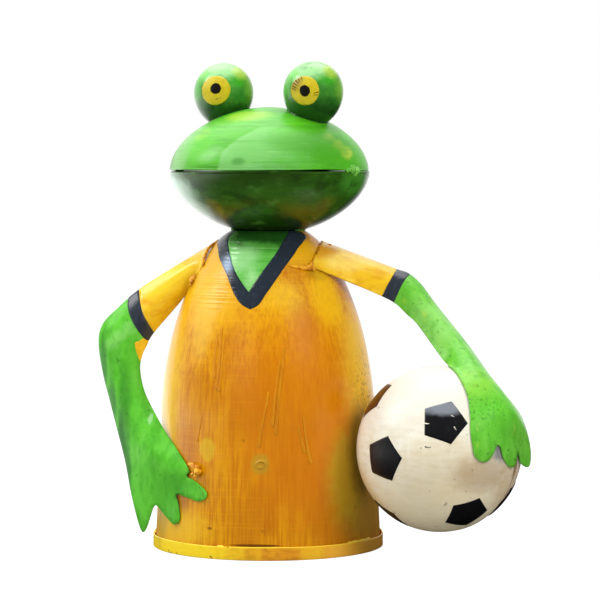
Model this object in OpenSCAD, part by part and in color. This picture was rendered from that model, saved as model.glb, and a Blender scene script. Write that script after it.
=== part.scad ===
// Painted sheet-metal frog goalkeeper: a hollow bell body, a head made of two bowls,
// ball eyes, two formed sheet arms and a hollow ball welded to the frog's left side.
// Millimetres, +Z up, the frog faces -Y, the origin is the centre of the foot's underside.
// Right and left are the frog's own: its right is -X.

/* [Sheet] */
// Thickness of the formed sheet
sheet = 0.8; // [0.6:0.1:1.0]

/* [Body] */
// Outer radius of the bell at its foot
foot_r = 54.2; // [53:0.1:55]
// Outer radius where the straight wall ends and the shoulder curve starts
waist_r = 51.3; // [50:0.1:52]
// Height where the straight wall ends
waist_z = 60; // [56:1:64]
// Outer radius of the neck opening
neck_r = 16.6; // [16:0.1:17.2]
// Height of the neck opening
neck_z = 151.6; // [150:0.1:153]

/* [Foot hoop] */
// Height of the hoop around the foot
hoop_h = 6.4; // [5:0.1:8]
// Radial thickness of the hoop
hoop_t = 1.1; // [0.8:0.1:1.4]

/* [Head] */
// Outer radius of both head bowls at the mouth
head_r = 47.6; // [46:0.1:49]
// Height of the middle of the mouth slit
mouth_z = 179.8; // [178:0.1:182]
// Height of the mouth slit
mouth_gap = 0.7; // [0.4:0.1:1.2]
// Height of the upper bowl
crown_h = 30.2; // [28:0.1:33]
// Depth of the lower bowl
jaw_h = 30.4; // [29:0.1:32]
// Sideways offset of the jaw on the neck
head_x = 1; // [0:0.1:1.5]
// Sideways offset of the crown on the neck
crown_x = 0.6; // [0:0.1:1.5]
// Radius of the turned rim on each bowl
rim_r = 0.6; // [0.4:0.1:0.8]

/* [Eyes] */
// Outer radius of an eye ball
eye_r = 14.3; // [13:0.1:15]
// Height of the upper cup of an eye ball
eye_top_h = 14.3; // [13:0.1:15]
// Depth of the lower cup of an eye ball
eye_bottom_h = 16.5; // [15:0.1:17]
// Distance of each eye ball from the middle of the head
eye_x = 23.8; // [22:0.1:26]
// Distance of the eye balls in front of the middle of the head
eye_front = 2; // [0:0.1:4]
// Height of the eye balls' centres above the mouth
eye_h = 37.6; // [37:0.1:39]
// Turn of the pair of eyes about the head's upright axis, in degrees
eye_turn = -10; // [-12:1:0]

/* [Ball] */
// Outer radius of the ball
ball_r = 38.6; // [37:0.1:39]
// Centre of the ball
ball_c = [88.7, -20.4, 50.7];
// Direction that the front half of the ball faces, about Z, in degrees
ball_turn = -12; // [-20:1:0]

/* [Hidden] */
$fn = 96;

orange = [0.89, 0.60, 0.08];
green = [0.36, 0.72, 0.24];
cream = [0.90, 0.86, 0.78];

// Control points of the shoulder curve, as [radius, height]
shoulder_curve = [[waist_r, waist_z], [waist_r + 0.3, waist_z + 38],
                  [neck_r + 18.3, neck_z - 7.1], [neck_r, neck_z]];
curve_steps = 18;
// Roundness of the crown and of the jaw: 2 is an ellipse, less is more pointed at the rim
crown_power = 1.85;
jaw_power = 1.8;
bowl_steps = 16;

// Slope of the crown under the eyes, and the radius and place of the ring where a ball meets it
eye_tilt = 23.4;
eye_ring = 10.1;
eye_seat = [-3.5, 0, -10.8];

// Clear distance between a formed hand and what it lies on
hand_gap = 0.3;

// The frog's right arm. Each rib is [upper edge, lower edge, height of the bulge between them].
right_ribs = [
    [[-22, -7.2, 147], [-26.5, -20.8, 135.5], 2],
    [[-44.3, -14.5, 132.8], [-36.5, -13.5, 121.3], 4],
    [[-59.5, -18, 122.7], [-51.5, -18.4, 102.6], 4],
    [[-69.2, -20, 114.2], [-54.6, -19.8, 96.6], 4],
    [[-76.5, -21.5, 106.3], [-56.6, -21.5, 91.2], 4],
    [[-78.3, -22.5, 97], [-57.2, -22.5, 85], 4],
    [[-75.8, -23, 82], [-55, -23.8, 76], 4],
    [[-72.4, -23.6, 70], [-50.2, -27, 68], 4],
    [[-68, -25.4, 56], [-40.2, -34.9, 56.3], 3],
    [[-62.8, -28.9, 41.3], [-26.2, -46.6, 42], 2]];
right_palm = [[-58.5, -33, 25.3], [-45.5, -39, 22], [-32.2, -43.6, 28.5], [-23, -48.6, 36.2]];
right_tips = [[[-53.2, -36, 8.8], [-51.6, -36.3, 8.8]],
              [[-35, -42.2, 13.6], [-31.3, -44.8, 15.8]],
              [[-16.4, -51.3, 27.6], [-16.6, -51, 32.8]]];

// The frog's left arm, which reaches forward over the ball
left_ribs = [
    [[25.4, 5.3, 146.2], [26.7, -20.8, 135.4], 2.5],
    [[38.7, 8, 141.2], [41, -8.2, 128], 4],
    [[60.2, 9.2, 133.3], [56.2, -2.8, 120.9], 4],
    [[67.3, 8.2, 131], [63.3, -2.7, 117.2], 4],
    [[73.6, 7, 126.2], [69.9, -4.8, 111.8], 4],
    [[82.6, 3.6, 115.7], [75.4, -7.1, 107.2], 4],
    [[96.9, -4.2, 100.9], [88.2, -17, 93.7], 4],
    [[104, -9.2, 93.4], [94.4, -24.5, 89.2], 4],
    [[111.2, -14.1, 85.2], [103.8, -38.7, 82.5], 4],
    [[119.8, -18.4, 76], [107.1, -43.7, 77.1], 5],
    [[125.8, -19.6, 69.2], [108.3, -46.5, 73.3], 5.5],
    [[129, -18.6, 61.8], [109.6, -49.5, 67.8], 6]];
left_palm = [[130.8, -15.6, 51.4], [127.6, -25, 50.8], [120.9, -43.1, 55.9], [111.3, -52, 59.1]];
left_tips = [[[130.2, -13, 43], [128, -15, 42.4]],
             [[126.7, -31, 46.3], [124.9, -35.9, 44.8]],
             [[116.4, -49.2, 49.2], [112.9, -51.9, 49.9]]];

// Weld beads, as [x, y, z, radius]
hip_beads = [[-22.2, -49, 42.2, 1.6], [-20.2, -49.8, 38.4, 2.2]];
right_shoulder_beads = [[-32.4, -18.6, 127.5, 1.8], [-34.2, -18.6, 123.6, 1.5], [-23, -11, 145, 1.2]];
left_shoulder_beads = [[26.6, -20.2, 136.6, 1.4], [29.6, 3.4, 143.6, 1.3]];
ball_side_beads = [[50.5, -12.2, 53.4, 1.5], [50.9, -11.2, 49.2, 1.8]];
ball_hand_beads = [[124.2, -32.6, 58.5, 1.1]];
mouth_left_beads = [[43.2, -19.6, 0.6, 1.7], [45, -15, -0.4, 2.4], [46.5, -10.6, 0.2, 1.6]];
mouth_right_beads = [[-46.2, 5.8, 0, 1.5], [-46.6, 3.6, -0.4, 1.1]];

// Points worked out from the values above

function mix(a, b, t) = a * (1 - t) + b * t;
function unit(v) = v / norm(v);
function bezier(p, t) = mix(mix(mix(p[0], p[1], t), mix(p[1], p[2], t), t),
                            mix(mix(p[1], p[2], t), mix(p[2], p[3], t), t), t);
function bezier_dir(p, t) = unit(mix(mix(p[1], p[2], t), mix(p[2], p[3], t), t)
                                 - mix(mix(p[0], p[1], t), mix(p[1], p[2], t), t));
// Outline of the bell, moved inwards by the given distance
function bell_side(inset) = concat([[foot_r - inset, 0.4]],
    [for (i = [0 : curve_steps]) let (t = i / curve_steps, d = bezier_dir(shoulder_curve, t))
        bezier(shoulder_curve, t) - inset * [d[1], -d[0]]]);
function bell_radius(z) = mix(foot_r, waist_r, z / waist_z);
// Outline of a bowl from its rim to its pole, as [radius, height]
function bowl_side(r, h, power) = [for (i = [0 : bowl_steps]) let (a = 90 * i / bowl_steps)
    [i == bowl_steps ? 0 : r * pow(cos(a), 2 / power), h * pow(sin(a), 2 / power)]];
function reversed(list) = [for (i = [len(list) - 1 : -1 : 0]) list[i]];
function eye_centre(side) = [head_x, 0, mouth_z + eye_h]
    + [side * eye_x * cos(eye_turn) + eye_front * sin(eye_turn),
       side * eye_x * sin(eye_turn) - eye_front * cos(eye_turn), 0];

// Smooth curve through the points of a list
function pick(list, i) = list[max(0, min(len(list) - 1, i))];
function through(list, u) = let (i = min(floor(u), len(list) - 2), t = u - i,
    a = pick(list, i - 1), b = pick(list, i), c = pick(list, i + 1), d = pick(list, i + 2))
    0.5 * (2 * b + (c - a) * t + (2 * a - 5 * b + 4 * c - d) * t * t + (3 * b - a - 3 * c + d) * t * t * t);

// A rib's four points across the sheet, bulged away from the frog
function rib_points(ribs, side, i) = let (r = ribs[i],
    way = pick(ribs, i + 1)[0] + pick(ribs, i + 1)[1] - pick(ribs, i - 1)[0] - pick(ribs, i - 1)[1],
    out = side * unit(cross(r[1] - r[0], way)) * r[2])
    [r[0], mix(r[0], r[1], 1 / 3) + out, mix(r[0], r[1], 2 / 3) + out, r[1]];

// Keeps a point of a hand clear of the ball and of the straight part of the bell
function clear_ball(p, gap) = let (d = p - ball_c, n = norm(d)) n < gap ? ball_c + d * gap / n : p;
function clear_bell(p, gap) = let (n = norm([p[0], p[1]]), r = bell_radius(p[2]) + gap)
    p[2] < waist_z && n < r ? [p[0] * r / n, p[1] * r / n, p[2]] : p;
function clear(p) = clear_bell(clear_ball(p, ball_r + sheet + hand_gap), sheet + hand_gap);

rows = 33;      // rows of the arm's grid, from the shoulder to the palm
cols = 6;       // columns across the arm, two for each finger
finger_rows = 4;

function arm_grid(ribs, palm, side) = let (
    all = concat([for (i = [0 : len(ribs) - 1]) rib_points(ribs, side, i)], [palm]))
    [for (i = [0 : rows]) let (u = i * (len(all) - 1) / rows,
        across = [for (k = [0 : 3]) through([for (rib = all) rib[k]], u)])
        [for (j = [0 : cols]) clear(through(across, 3 * j / cols))]];
// A finger's sides are slightly hollow between the palm and the tip
function finger_grid(grid, tip, k) = [for (i = [0 : finger_rows]) [for (j = [0 : 2])
    let (t = i / finger_rows, pinch = 0.15 * sin(180 * t),
         side_line = mix(grid[rows][2 * k + j], mix(tip[0], tip[1], j / 2), t),
         middle = mix(grid[rows][2 * k + 1], mix(tip[0], tip[1], 0.5), t))
    i == 0 ? grid[rows][2 * k + j] : clear(mix(side_line, middle, pinch))]];
function grid_normal(g, i, j, side) = side * unit(cross(
    pick(g[i], j + 1) - pick(g[i], j - 1), pick(g, i + 1)[j] - pick(g, i - 1)[j]));
function two_triangles(a, b, c, d, way) = way > 0 ? [[a, b, c], [a, c, d]] : [[a, c, b], [a, d, c]];

// A formed sheet arm with a palm and three fingers, as one closed skin
module formed_arm(ribs, palm, tips, side) {
    grid = arm_grid(ribs, palm, side);
    fingers = [for (k = [0 : 2]) finger_grid(grid, tips[k], k)];
    outer = concat(
        [for (i = [0 : rows]) for (j = [0 : cols]) grid[i][j]],
        [for (k = [0 : 2]) for (i = [1 : finger_rows]) for (j = [0 : 2]) fingers[k][i][j]]);
    normals = concat(
        [for (i = [0 : rows]) for (j = [0 : cols]) grid_normal(grid, i, j, side)],
        [for (k = [0 : 2]) for (i = [1 : finger_rows]) for (j = [0 : 2]) grid_normal(fingers[k], i, j, side)]);
    count = len(outer);
    points = concat(outer, [for (i = [0 : count - 1]) outer[i] - sheet * normals[i]]);
    arm_id = function(i, j) i * (cols + 1) + j;
    finger_id = function(k, i, j) i == 0 ? arm_id(rows, 2 * k + j)
        : (rows + 1) * (cols + 1) + (k * finger_rows + i - 1) * 3 + j;
    quads = concat(
        [for (i = [0 : rows - 1]) for (j = [0 : cols - 1])
            [arm_id(i, j), arm_id(i, j + 1), arm_id(i + 1, j + 1), arm_id(i + 1, j)]],
        [for (k = [0 : 2]) for (i = [0 : finger_rows - 1]) for (j = [0 : 1])
            [finger_id(k, i, j), finger_id(k, i, j + 1), finger_id(k, i + 1, j + 1), finger_id(k, i + 1, j)]]);
    edges = concat(
        [for (j = [0 : cols - 1]) [arm_id(0, j + 1), arm_id(0, j)]],
        [for (i = [0 : rows - 1]) [arm_id(i, 0), arm_id(i + 1, 0)]],
        [for (i = [0 : rows - 1]) [arm_id(i + 1, cols), arm_id(i, cols)]],
        [for (k = [0 : 2]) for (i = [0 : finger_rows - 1]) [finger_id(k, i, 0), finger_id(k, i + 1, 0)]],
        [for (k = [0 : 2]) for (i = [0 : finger_rows - 1]) [finger_id(k, i + 1, 2), finger_id(k, i, 2)]],
        [for (k = [0 : 2]) for (j = [0 : 1]) [finger_id(k, finger_rows, j), finger_id(k, finger_rows, j + 1)]]);
    polyhedron(points, concat(
        [for (q = quads) each two_triangles(q[0], q[1], q[2], q[3], -side)],
        [for (q = quads) each two_triangles(q[0] + count, q[1] + count, q[2] + count, q[3] + count, side)],
        [for (e = edges) each two_triangles(e[0], e[1], e[1] + count, e[0] + count, -side)]));
}

module beads(list) {
    for (b = list) translate([b[0], b[1], b[2]]) sphere(r = b[3]);
}

module body_shell() {
    color(orange) rotate_extrude() polygon(concat(bell_side(0), reversed(bell_side(sheet))));
}

// The hoop stands a little off the bell at its upper edge, so that the edge shows as a ledge
module base_hoop() {
    inner = foot_r + 0.05;
    color(orange) rotate_extrude() polygon([
        [inner, 0], [inner + hoop_t - 0.3, 0], [inner + hoop_t, 0.4], [inner + hoop_t, hoop_h - 0.3],
        [inner + hoop_t - 0.3, hoop_h], [inner + 0.4, hoop_h], [inner, 1.2]]);
}

// Tacks that hold the hoop to the bell
module hoop_welds() {
    color(orange) for (a = [-72, -8, 52, 112, 172, 232]) rotate([0, 0, a])
        translate([0, -foot_r - 0.1, hoop_h - 0.3]) sphere(r = 1);
}

// Tacks that hold the jaw in the neck opening, behind and at the sides
module neck_welds() {
    color(green) for (a = [70, 125, 180, 235, 290]) rotate([0, 0, a])
        translate([0, -neck_r - 0.6, neck_z + 0.4]) sphere(r = 1.3);
}

// A bowl of even sheet with a turned rim; its rim is on z = 0 and it opens downwards
module bowl(r, h, power) {
    rotate_extrude() union() {
        polygon(concat(bowl_side(r, h, power), reversed(bowl_side(r - sheet, h - sheet, power))));
        translate([r - rim_r, rim_r * 0.6]) circle(r = rim_r);
    }
}

module head_lower_bowl() {
    color(green) translate([head_x, 0, mouth_z - mouth_gap / 2]) mirror([0, 0, 1])
        bowl(head_r, jaw_h, jaw_power);
}

// The crown has a round seat for each eye ball
module head_upper_bowl() {
    color(green) difference() {
        translate([crown_x, 0, mouth_z + mouth_gap / 2]) bowl(head_r, crown_h, crown_power);
        for (side = [-1, 1]) translate(eye_centre(side)) eye_solid();
    }
}

module mouth_weld_right() {
    color(green) translate([head_x, 0, mouth_z]) beads(mouth_right_beads);
}

module mouth_weld_left() {
    color(green) translate([head_x, 0, mouth_z]) beads(mouth_left_beads);
}

// Upper or lower cup of an eye ball, before it is placed; the two meet rim to rim
module eye_cup(h, up) {
    mirror([0, 0, 1 - up]) rotate_extrude() polygon(concat(
        bowl_side(eye_r, h, 2), reversed(bowl_side(eye_r - sheet, h - sheet, 2))));
}

module eye_solid() {
    rotate_extrude() polygon(concat(
        [[0, -eye_bottom_h]],
        [for (p = reversed(bowl_side(eye_r, eye_bottom_h, 2))) if (p[0] > 0) [p[0], -p[1]]],
        [for (p = bowl_side(eye_r, eye_top_h, 2)) if (p[0] < eye_r) p]));
}

// Ring of weld where an eye ball sits in its seat on the crown
module eye_weld(side) {
    translate(eye_centre(side)) rotate([0, 0, eye_turn])
        translate([side * eye_seat[0], 0, eye_seat[2]]) rotate([0, side * eye_tilt, 0])
        rotate_extrude() translate([eye_ring, 0]) circle(r = 0.9);
}

module right_eye_upper_cup() { color(green) translate(eye_centre(-1)) eye_cup(eye_top_h, 1); }
module right_eye_lower_cup() { color(green) translate(eye_centre(-1)) eye_cup(eye_bottom_h, 0); }
module right_eye_weld() { color(green) eye_weld(-1); }
module left_eye_upper_cup() { color(green) translate(eye_centre(1)) eye_cup(eye_top_h, 1); }
module left_eye_lower_cup() { color(green) translate(eye_centre(1)) eye_cup(eye_bottom_h, 0); }
module left_eye_weld() { color(green) eye_weld(1); }

module right_arm() {
    color(green) formed_arm(right_ribs, right_palm, right_tips, -1);
}

module right_shoulder_weld() {
    color(orange) beads(right_shoulder_beads);
}

module hip_weld() {
    color(orange) beads(hip_beads);
}

module left_arm() {
    color(green) formed_arm(left_ribs, left_palm, left_tips, 1);
}

module left_shoulder_weld() {
    color(orange) beads(left_shoulder_beads);
}

// Pointed end of metal that runs from the left sleeve's lower corner onto the chest
module shoulder_spur() {
    color(orange) hull() {
        translate([27.2, -21.4, 134.6]) sphere(r = 1.5, $fn = 24);
        translate([18.2, -27.4, 135.6]) sphere(r = 0.4, $fn = 16);
    }
}

// Half of the ball: front is +1 for the half that faces forwards
module ball_half(front) {
    color(cream) translate(ball_c) rotate([0, 0, ball_turn]) rotate([90 * front, 0, 0])
        rotate_extrude() intersection() {
            difference() {
                circle(r = ball_r);
                circle(r = ball_r - sheet);
            }
            square(ball_r);
        }
}

module ball_front_half() { ball_half(1); }
module ball_rear_half() { ball_half(-1); }

module ball_side_weld() {
    color(cream) beads(ball_side_beads);
}

module ball_hand_weld() {
    color(green) beads(ball_hand_beads);
}

body_shell();
base_hoop();
hoop_welds();
neck_welds();
head_lower_bowl();
head_upper_bowl();
mouth_weld_right();
mouth_weld_left();
right_eye_upper_cup();
right_eye_lower_cup();
right_eye_weld();
left_eye_upper_cup();
left_eye_lower_cup();
left_eye_weld();
right_arm();
right_shoulder_weld();
hip_weld();
left_arm();
left_shoulder_weld();
shoulder_spur();
ball_front_half();
ball_rear_half();
ball_side_weld();
ball_hand_weld();
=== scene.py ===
import math

import bmesh
import bpy
import numpy as np
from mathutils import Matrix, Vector, geometry


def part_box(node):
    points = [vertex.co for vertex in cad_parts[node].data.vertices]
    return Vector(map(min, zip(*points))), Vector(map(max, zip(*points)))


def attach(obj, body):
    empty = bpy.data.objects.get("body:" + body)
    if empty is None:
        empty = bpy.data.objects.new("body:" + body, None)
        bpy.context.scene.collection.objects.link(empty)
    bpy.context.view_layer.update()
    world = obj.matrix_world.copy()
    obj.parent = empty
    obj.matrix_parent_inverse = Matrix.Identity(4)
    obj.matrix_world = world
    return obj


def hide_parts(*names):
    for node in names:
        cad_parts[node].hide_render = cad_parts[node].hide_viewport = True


# A hand-painted sheet-metal frog goalkeeper. Millimetres throughout, turned into metres when a
# mesh is made. +Z is up, the frog faces -Y, and right and left are the frog's own.
# Angles on the body, head, eyes and ball are azimuths in degrees from -Y towards +X.

MM = 0.001
SHEET = 0.8            # thickness of the formed sheet
PAINT = 0.1            # thickness of one painted shape
SUNK = -0.2            # how far painted shapes reach into the sheet
WHITE = (1, 1, 1, 1)

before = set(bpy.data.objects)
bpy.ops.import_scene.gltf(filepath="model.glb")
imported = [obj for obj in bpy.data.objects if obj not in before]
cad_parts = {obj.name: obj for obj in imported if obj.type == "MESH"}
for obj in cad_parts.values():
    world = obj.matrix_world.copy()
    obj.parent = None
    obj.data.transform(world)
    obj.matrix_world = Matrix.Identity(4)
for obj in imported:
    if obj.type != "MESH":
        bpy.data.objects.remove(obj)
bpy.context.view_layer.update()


# --- Places taken from the frame -------------------------------------------------------------

def box_mm(node):
    """A CAD node's lowest and highest corners."""
    low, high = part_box(node)
    return np.array(low) / MM, np.array(high) / MM


def box_middle(*nodes):
    """The middle of the box around some CAD nodes."""
    lows, highs = zip(*[box_mm(node) for node in nodes])
    return (np.min(lows, axis=0) + np.max(highs, axis=0)) / 2


SHELL_LOW, SHELL_HIGH = box_mm("body_shell")
HOOP_HIGH = box_mm("base_hoop")[1]
FOOT_R = SHELL_HIGH[0]
NECK_Z = SHELL_HIGH[2]
BALL_LOW, BALL_HIGH = box_mm("ball_front_half")
BALL_R = (BALL_HIGH[2] - BALL_LOW[2]) / 2
BALL_C = box_middle("ball_front_half", "ball_rear_half")
BALL_TURN = -12.0      # azimuth that the ball's front half faces


# --- Materials -------------------------------------------------------------------------------

def linear(r, g, b):
    """A colour written as on a paint chart, 0 to 255, in Blender's linear values."""
    shares = [c / 255 for c in (r, g, b)]
    return tuple(((s + 0.055) / 1.055) ** 2.4 if s > 0.04 else s / 12.92 for s in shares) + (1.0,)


def put(tree, socket, value):
    """Links another node's output to the socket, or sets a plain value on it."""
    if isinstance(value, bpy.types.NodeSocket):
        tree.links.new(value, socket)
    else:
        socket.default_value = value


def add_node(tree, kind, sockets=None, **settings):
    """A new shader node; sockets says what goes into each of its inputs."""
    node = tree.nodes.new(kind)
    for key, value in settings.items():
        setattr(node, key, value)
    for key, value in (sockets or {}).items():
        put(tree, node.inputs[key], value)
    return node


def ramped(tree, value, low, high, to_low=0.0, to_high=1.0, way="SMOOTHSTEP"):
    """Rises from to_low, where the value is low, to to_high, where it is high."""
    sockets = {"Value": value, "From Min": low, "From Max": high, "To Min": to_low, "To Max": to_high}
    return add_node(tree, "ShaderNodeMapRange", sockets, interpolation_type=way).outputs["Result"]


def along(tree, place, way):
    """How far a place is along a way."""
    node = add_node(tree, "ShaderNodeVectorMath", {0: place, 1: way}, operation="DOT_PRODUCT")
    return node.outputs["Value"]


class Paint:
    """A hand-brushed paint: a base colour under layers that are all fixed to the object."""

    def __init__(self, name, base, roughness=0.32, shine=0.5):
        self.material = bpy.data.materials.new(name)
        self.material.use_nodes = True
        self.tree = self.material.node_tree
        self.shader = self.tree.nodes["Principled BSDF"]
        self.shader.inputs["Roughness"].default_value = roughness
        self.shader.inputs["Specular IOR Level"].default_value = shine
        self.place = add_node(self.tree, "ShaderNodeTexCoord").outputs["Object"]
        self.colour = linear(*base)
        self.height = None

    def math(self, operation, a, b):
        return add_node(self.tree, "ShaderNodeMath", {0: a, 1: b}, operation=operation).outputs[0]

    def vector(self, operation, a, b):
        return add_node(self.tree, "ShaderNodeVectorMath", {0: a, 1: b}, operation=operation).outputs[0]

    def noise(self, stretch, detail=4.0, rough=0.55):
        """Noise with so many waves a millimetre along each axis."""
        sockets = {"Vector": self.vector("MULTIPLY", self.place, [s / MM for s in stretch]),
                   "Scale": 1.0, "Detail": detail, "Roughness": rough}
        return add_node(self.tree, "ShaderNodeTexNoise", sockets).outputs["Fac"]

    def ramp(self, value, low, high, to_low=0.0, to_high=1.0):
        return ramped(self.tree, value, low, high, to_low, to_high)

    def up(self):
        """The height on the object, in metres."""
        return add_node(self.tree, "ShaderNodeSeparateXYZ", {0: self.place}).outputs["Z"]

    def over(self, colour, mask):
        """Brushes a colour over what is there, as strongly as the mask."""
        sockets = {0: mask, 6: self.colour, 7: linear(*colour)}
        self.colour = add_node(self.tree, "ShaderNodeMix", sockets, data_type="RGBA").outputs[2]

    def brush(self, colour, stretch, low=0.4, high=0.7, strength=0.6, detail=5.0):
        """Streaks of another colour; stretch is small along the way the brush went."""
        self.over(colour, self.ramp(self.noise(stretch, detail), low, high, 0.0, strength))

    def spot(self, centre, size, soft, ragged, grain=0.25):
        """A mask around a place on the object; soft is how much of it fades."""
        shift = self.vector("SUBTRACT", self.place, [c * MM for c in centre])
        share = self.vector("DIVIDE", shift, [s * MM for s in size])
        away = add_node(self.tree, "ShaderNodeVectorMath", {0: share}, operation="LENGTH").outputs["Value"]
        wobble = self.math("MULTIPLY", self.noise((grain, grain, grain), 3.0), ragged * 2)
        edge = self.math("ADD", away, self.math("SUBTRACT", wobble, ragged))
        return self.ramp(edge, 1.0 - soft / 2, 1.0 + soft / 2, 1.0, 0.0)

    def patch(self, colour, centre, size, strength=0.8, soft=0.6, ragged=0.35, grain=0.25):
        """A patch of another colour around a place on the object."""
        self.over(colour, self.math("MULTIPLY", self.spot(centre, size, soft, ragged, grain), strength))

    def painted_sheen(self, colour, crisp, fading, strength):
        """A painted highlight with a sharp edge where crisp ends, fading out elsewhere; both [centre,
        size].
        """
        sharp = self.spot(*crisp, 0.05, 0.07, 0.12)
        mask = self.math("MULTIPLY", sharp, self.spot(*fading, 1.0, 0.25))
        self.over(colour, self.math("MULTIPLY", mask, strength))

    def raise_by(self, value, amount):
        """Adds a height in millimetres, value times amount, to the surface."""
        step = self.math("MULTIPLY", value, amount)
        self.height = step if self.height is None else self.math("ADD", self.height, step)

    def specks(self, colour, scale=0.35, low=0.70, high=0.76, strength=0.8, where=None):
        """Small chips and specks of dirt, all over or only where a mask is."""
        mask = self.ramp(self.noise((scale, scale, scale), 2.0, 0.4), low, high, 0.0, strength)
        self.over(colour, mask if where is None else self.math("MULTIPLY", mask, where))

    def done(self):
        put(self.tree, self.shader.inputs["Base Color"], self.colour)
        if self.height is not None:
            sockets = {"Strength": 1.0, "Distance": MM, "Height": self.height}
            bump = add_node(self.tree, "ShaderNodeBump", sockets)
            put(self.tree, self.shader.inputs["Normal"], bump.outputs["Normal"])
        return self.material


def around(azimuth, r, z):
    """A place in millimetres given by azimuth, radius and height about the body's axis."""
    a = math.radians(azimuth)
    return (r * math.sin(a), -r * math.cos(a), z)


def shirt_layers(p):
    """The brush strokes of the shirt, mostly down it, and its dents."""
    p.brush((190, 112, 0), (0.9, 0.9, 0.035), 0.4, 0.62, 0.8)
    p.brush((240, 176, 16), (0.5, 0.5, 0.02), 0.5, 0.75, 0.5)
    p.brush((184, 106, 0), (0.035, 0.035, 0.02), 0.45, 0.62, 0.6, 3.0)
    p.brush((236, 164, 20), (0.03, 0.03, 1.3), 0.5, 0.75, 0.3)
    p.brush((176, 96, 2), (0.25, 0.25, 0.04), 0.6, 0.7, 0.5)
    p.raise_by(p.noise((1.4, 1.4, 0.05), 3.0), 0.12)
    p.raise_by(p.noise((0.06, 0.06, 0.04), 2.0), 0.5)


def spin_rings(p):
    """Rings left by spinning the sheet, strongest around the chest."""
    z = p.up()
    chest = p.math("MULTIPLY", p.ramp(z, 108 * MM, 126 * MM), p.ramp(z, 150 * MM, 146 * MM))
    rings = p.ramp(p.noise((0.012, 0.012, 0.75), 2.0, 0.6), 0.35, 0.7)
    p.raise_by(p.math("MULTIPLY", rings, chest), 0.16)


def shirt_paint():
    p = Paint("shirt_paint", (216, 149, 0), 0.28, 0.42)
    shirt_layers(p)
    p.patch((205, 116, 4), around(38, 50, 62), (34, 34, 46), 0.75, 1.0)
    p.patch((240, 190, 24), around(-60, 50, 70), (16, 16, 62), 0.8, 1.0)
    p.patch((238, 184, 20), around(-22, 36, 117), (14, 14, 15), 0.6, 1.0)
    p.patch((240, 194, 50), around(84, 51, 84), (13, 18, 44), 0.75, 1.0)
    p.patch((206, 170, 44), around(82, 53, 22), (13, 18, 16), 0.6, 1.0)
    p.patch((240, 186, 20), around(-48, 32, 132), (14, 16, 20), 0.75, 1.0)
    p.patch((238, 184, 20), around(52, 28, 141), (14, 12, 8), 0.6, 1.0)
    # Painted highlight: a pale streak down the chest, right of the collar.
    p.patch((238, 196, 70), around(-28, 44, 112), (6, 8, 24), 0.45, 0.8)
    p.patch((206, 176, 40), around(62, 53, 36), (12, 12, 22), 0.7, 0.9)
    # Painted shade: dark brown along the body where the ball meets it.
    p.patch((120, 92, 10), around(72, 53, 48), (8, 8, 22), 0.7, 0.9)
    stained = p.spot(around(84, 51, 78), (14, 14, 16), 1.0, 0.3)
    p.specks((128, 98, 20), 0.6, 0.5, 0.66, 0.5, stained)
    p.patch((214, 186, 30), around(-17, 52, 50.5), (4.2, 4.5, 5.4), 0.5, 0.4, 0.3)
    # Painted shade: a dark line in the crevice above the hoop's ledge.
    p.patch((96, 52, 4), around(11, 54.4, 6.9), (13, 5, 0.6), 0.9, 0.4, 0.1)
    # Painted shadow under the left sleeve's lower edge.
    p.patch((100, 52, 4), around(58, 32, 130.5), (9, 6, 2.6), 0.7, 0.9)
    p.patch((120, 64, 6), around(-60, 35, 124), (3, 5, 7), 0.5, 0.9)
    # Painted shadow next to the right hand.
    p.patch((150, 92, 6), (-30.7, -43, 25.5), (6, 6, 7), 0.6, 1.0)
    p.patch((236, 196, 40), around(20, 34, 120), (14, 8, 9), 0.5, 1.0)
    p.patch((240, 190, 20), (34, -19, 122), (8, 10, 18), 0.6, 1.0)
    p.patch((236, 180, 14), around(8, 33, 110), (16, 10, 12), 0.4, 1.0)
    p.patch((176, 150, 40), around(12, 52, 44.5), (4.2, 4.2, 4.6), 0.6, 0.5, 0.2)
    p.patch((240, 196, 30), around(-40, 54, 12), (22, 22, 9), 0.6, 0.9)
    p.patch((126, 66, 8), around(-12, 52, 77), (0.9, 0.9, 2.6), 0.8, 0.6)
    p.patch((126, 66, 8), around(-14.6, 54, 14), (1.4, 1.4, 0.7), 0.8, 0.6)
    p.specks((150, 84, 10), 0.3, 0.76, 0.8, 0.5)
    spin_rings(p)
    return p.done()


def plain_paint(name, base, darker, lighter, stretch, roughness, depth, shine=0.5):
    """A brushed paint with streaks of a darker and a lighter shade, depth millimetres deep."""
    p = Paint(name, base, roughness, shine)
    p.brush(darker, stretch, 0.4, 0.7, 0.7)
    p.brush(lighter, [s * 0.6 for s in stretch], 0.5, 0.75, 0.5)
    p.raise_by(p.noise([s * 1.6 for s in stretch], 3.0), depth)
    return p


# --- Mesh building ---------------------------------------------------------------------------

GRID_SHIFT = np.array([0.37, 0.41])    # keeps a plate's inner points off round positions
EDGE_GAP = 0.55        # an inner point's least distance from the outline; both in steps


def added(name, data):
    """A new object in the scene."""
    thing = bpy.data.objects.new(name, data)
    bpy.context.scene.collection.objects.link(thing)
    return thing


def smoothed(mesh):
    for polygon in mesh.polygons:
        polygon.use_smooth = True


def make(name, points, faces, slot, material, replaces=()):
    """A piece of the object from points in millimetres, smooth, riding on the one body."""
    mesh = bpy.data.meshes.new(name)
    mesh.from_pydata([tuple(p) for p in np.asarray(points) * MM], [], faces)
    solid = bmesh.new()
    solid.from_mesh(mesh)
    bmesh.ops.recalc_face_normals(solid, faces=solid.faces)
    solid.to_mesh(mesh)
    solid.free()
    smoothed(mesh)
    piece = added(name, mesh)
    mesh.materials.append(material)
    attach(piece, "root")
    if replaces:
        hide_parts(*replaces)
    return piece


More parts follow.
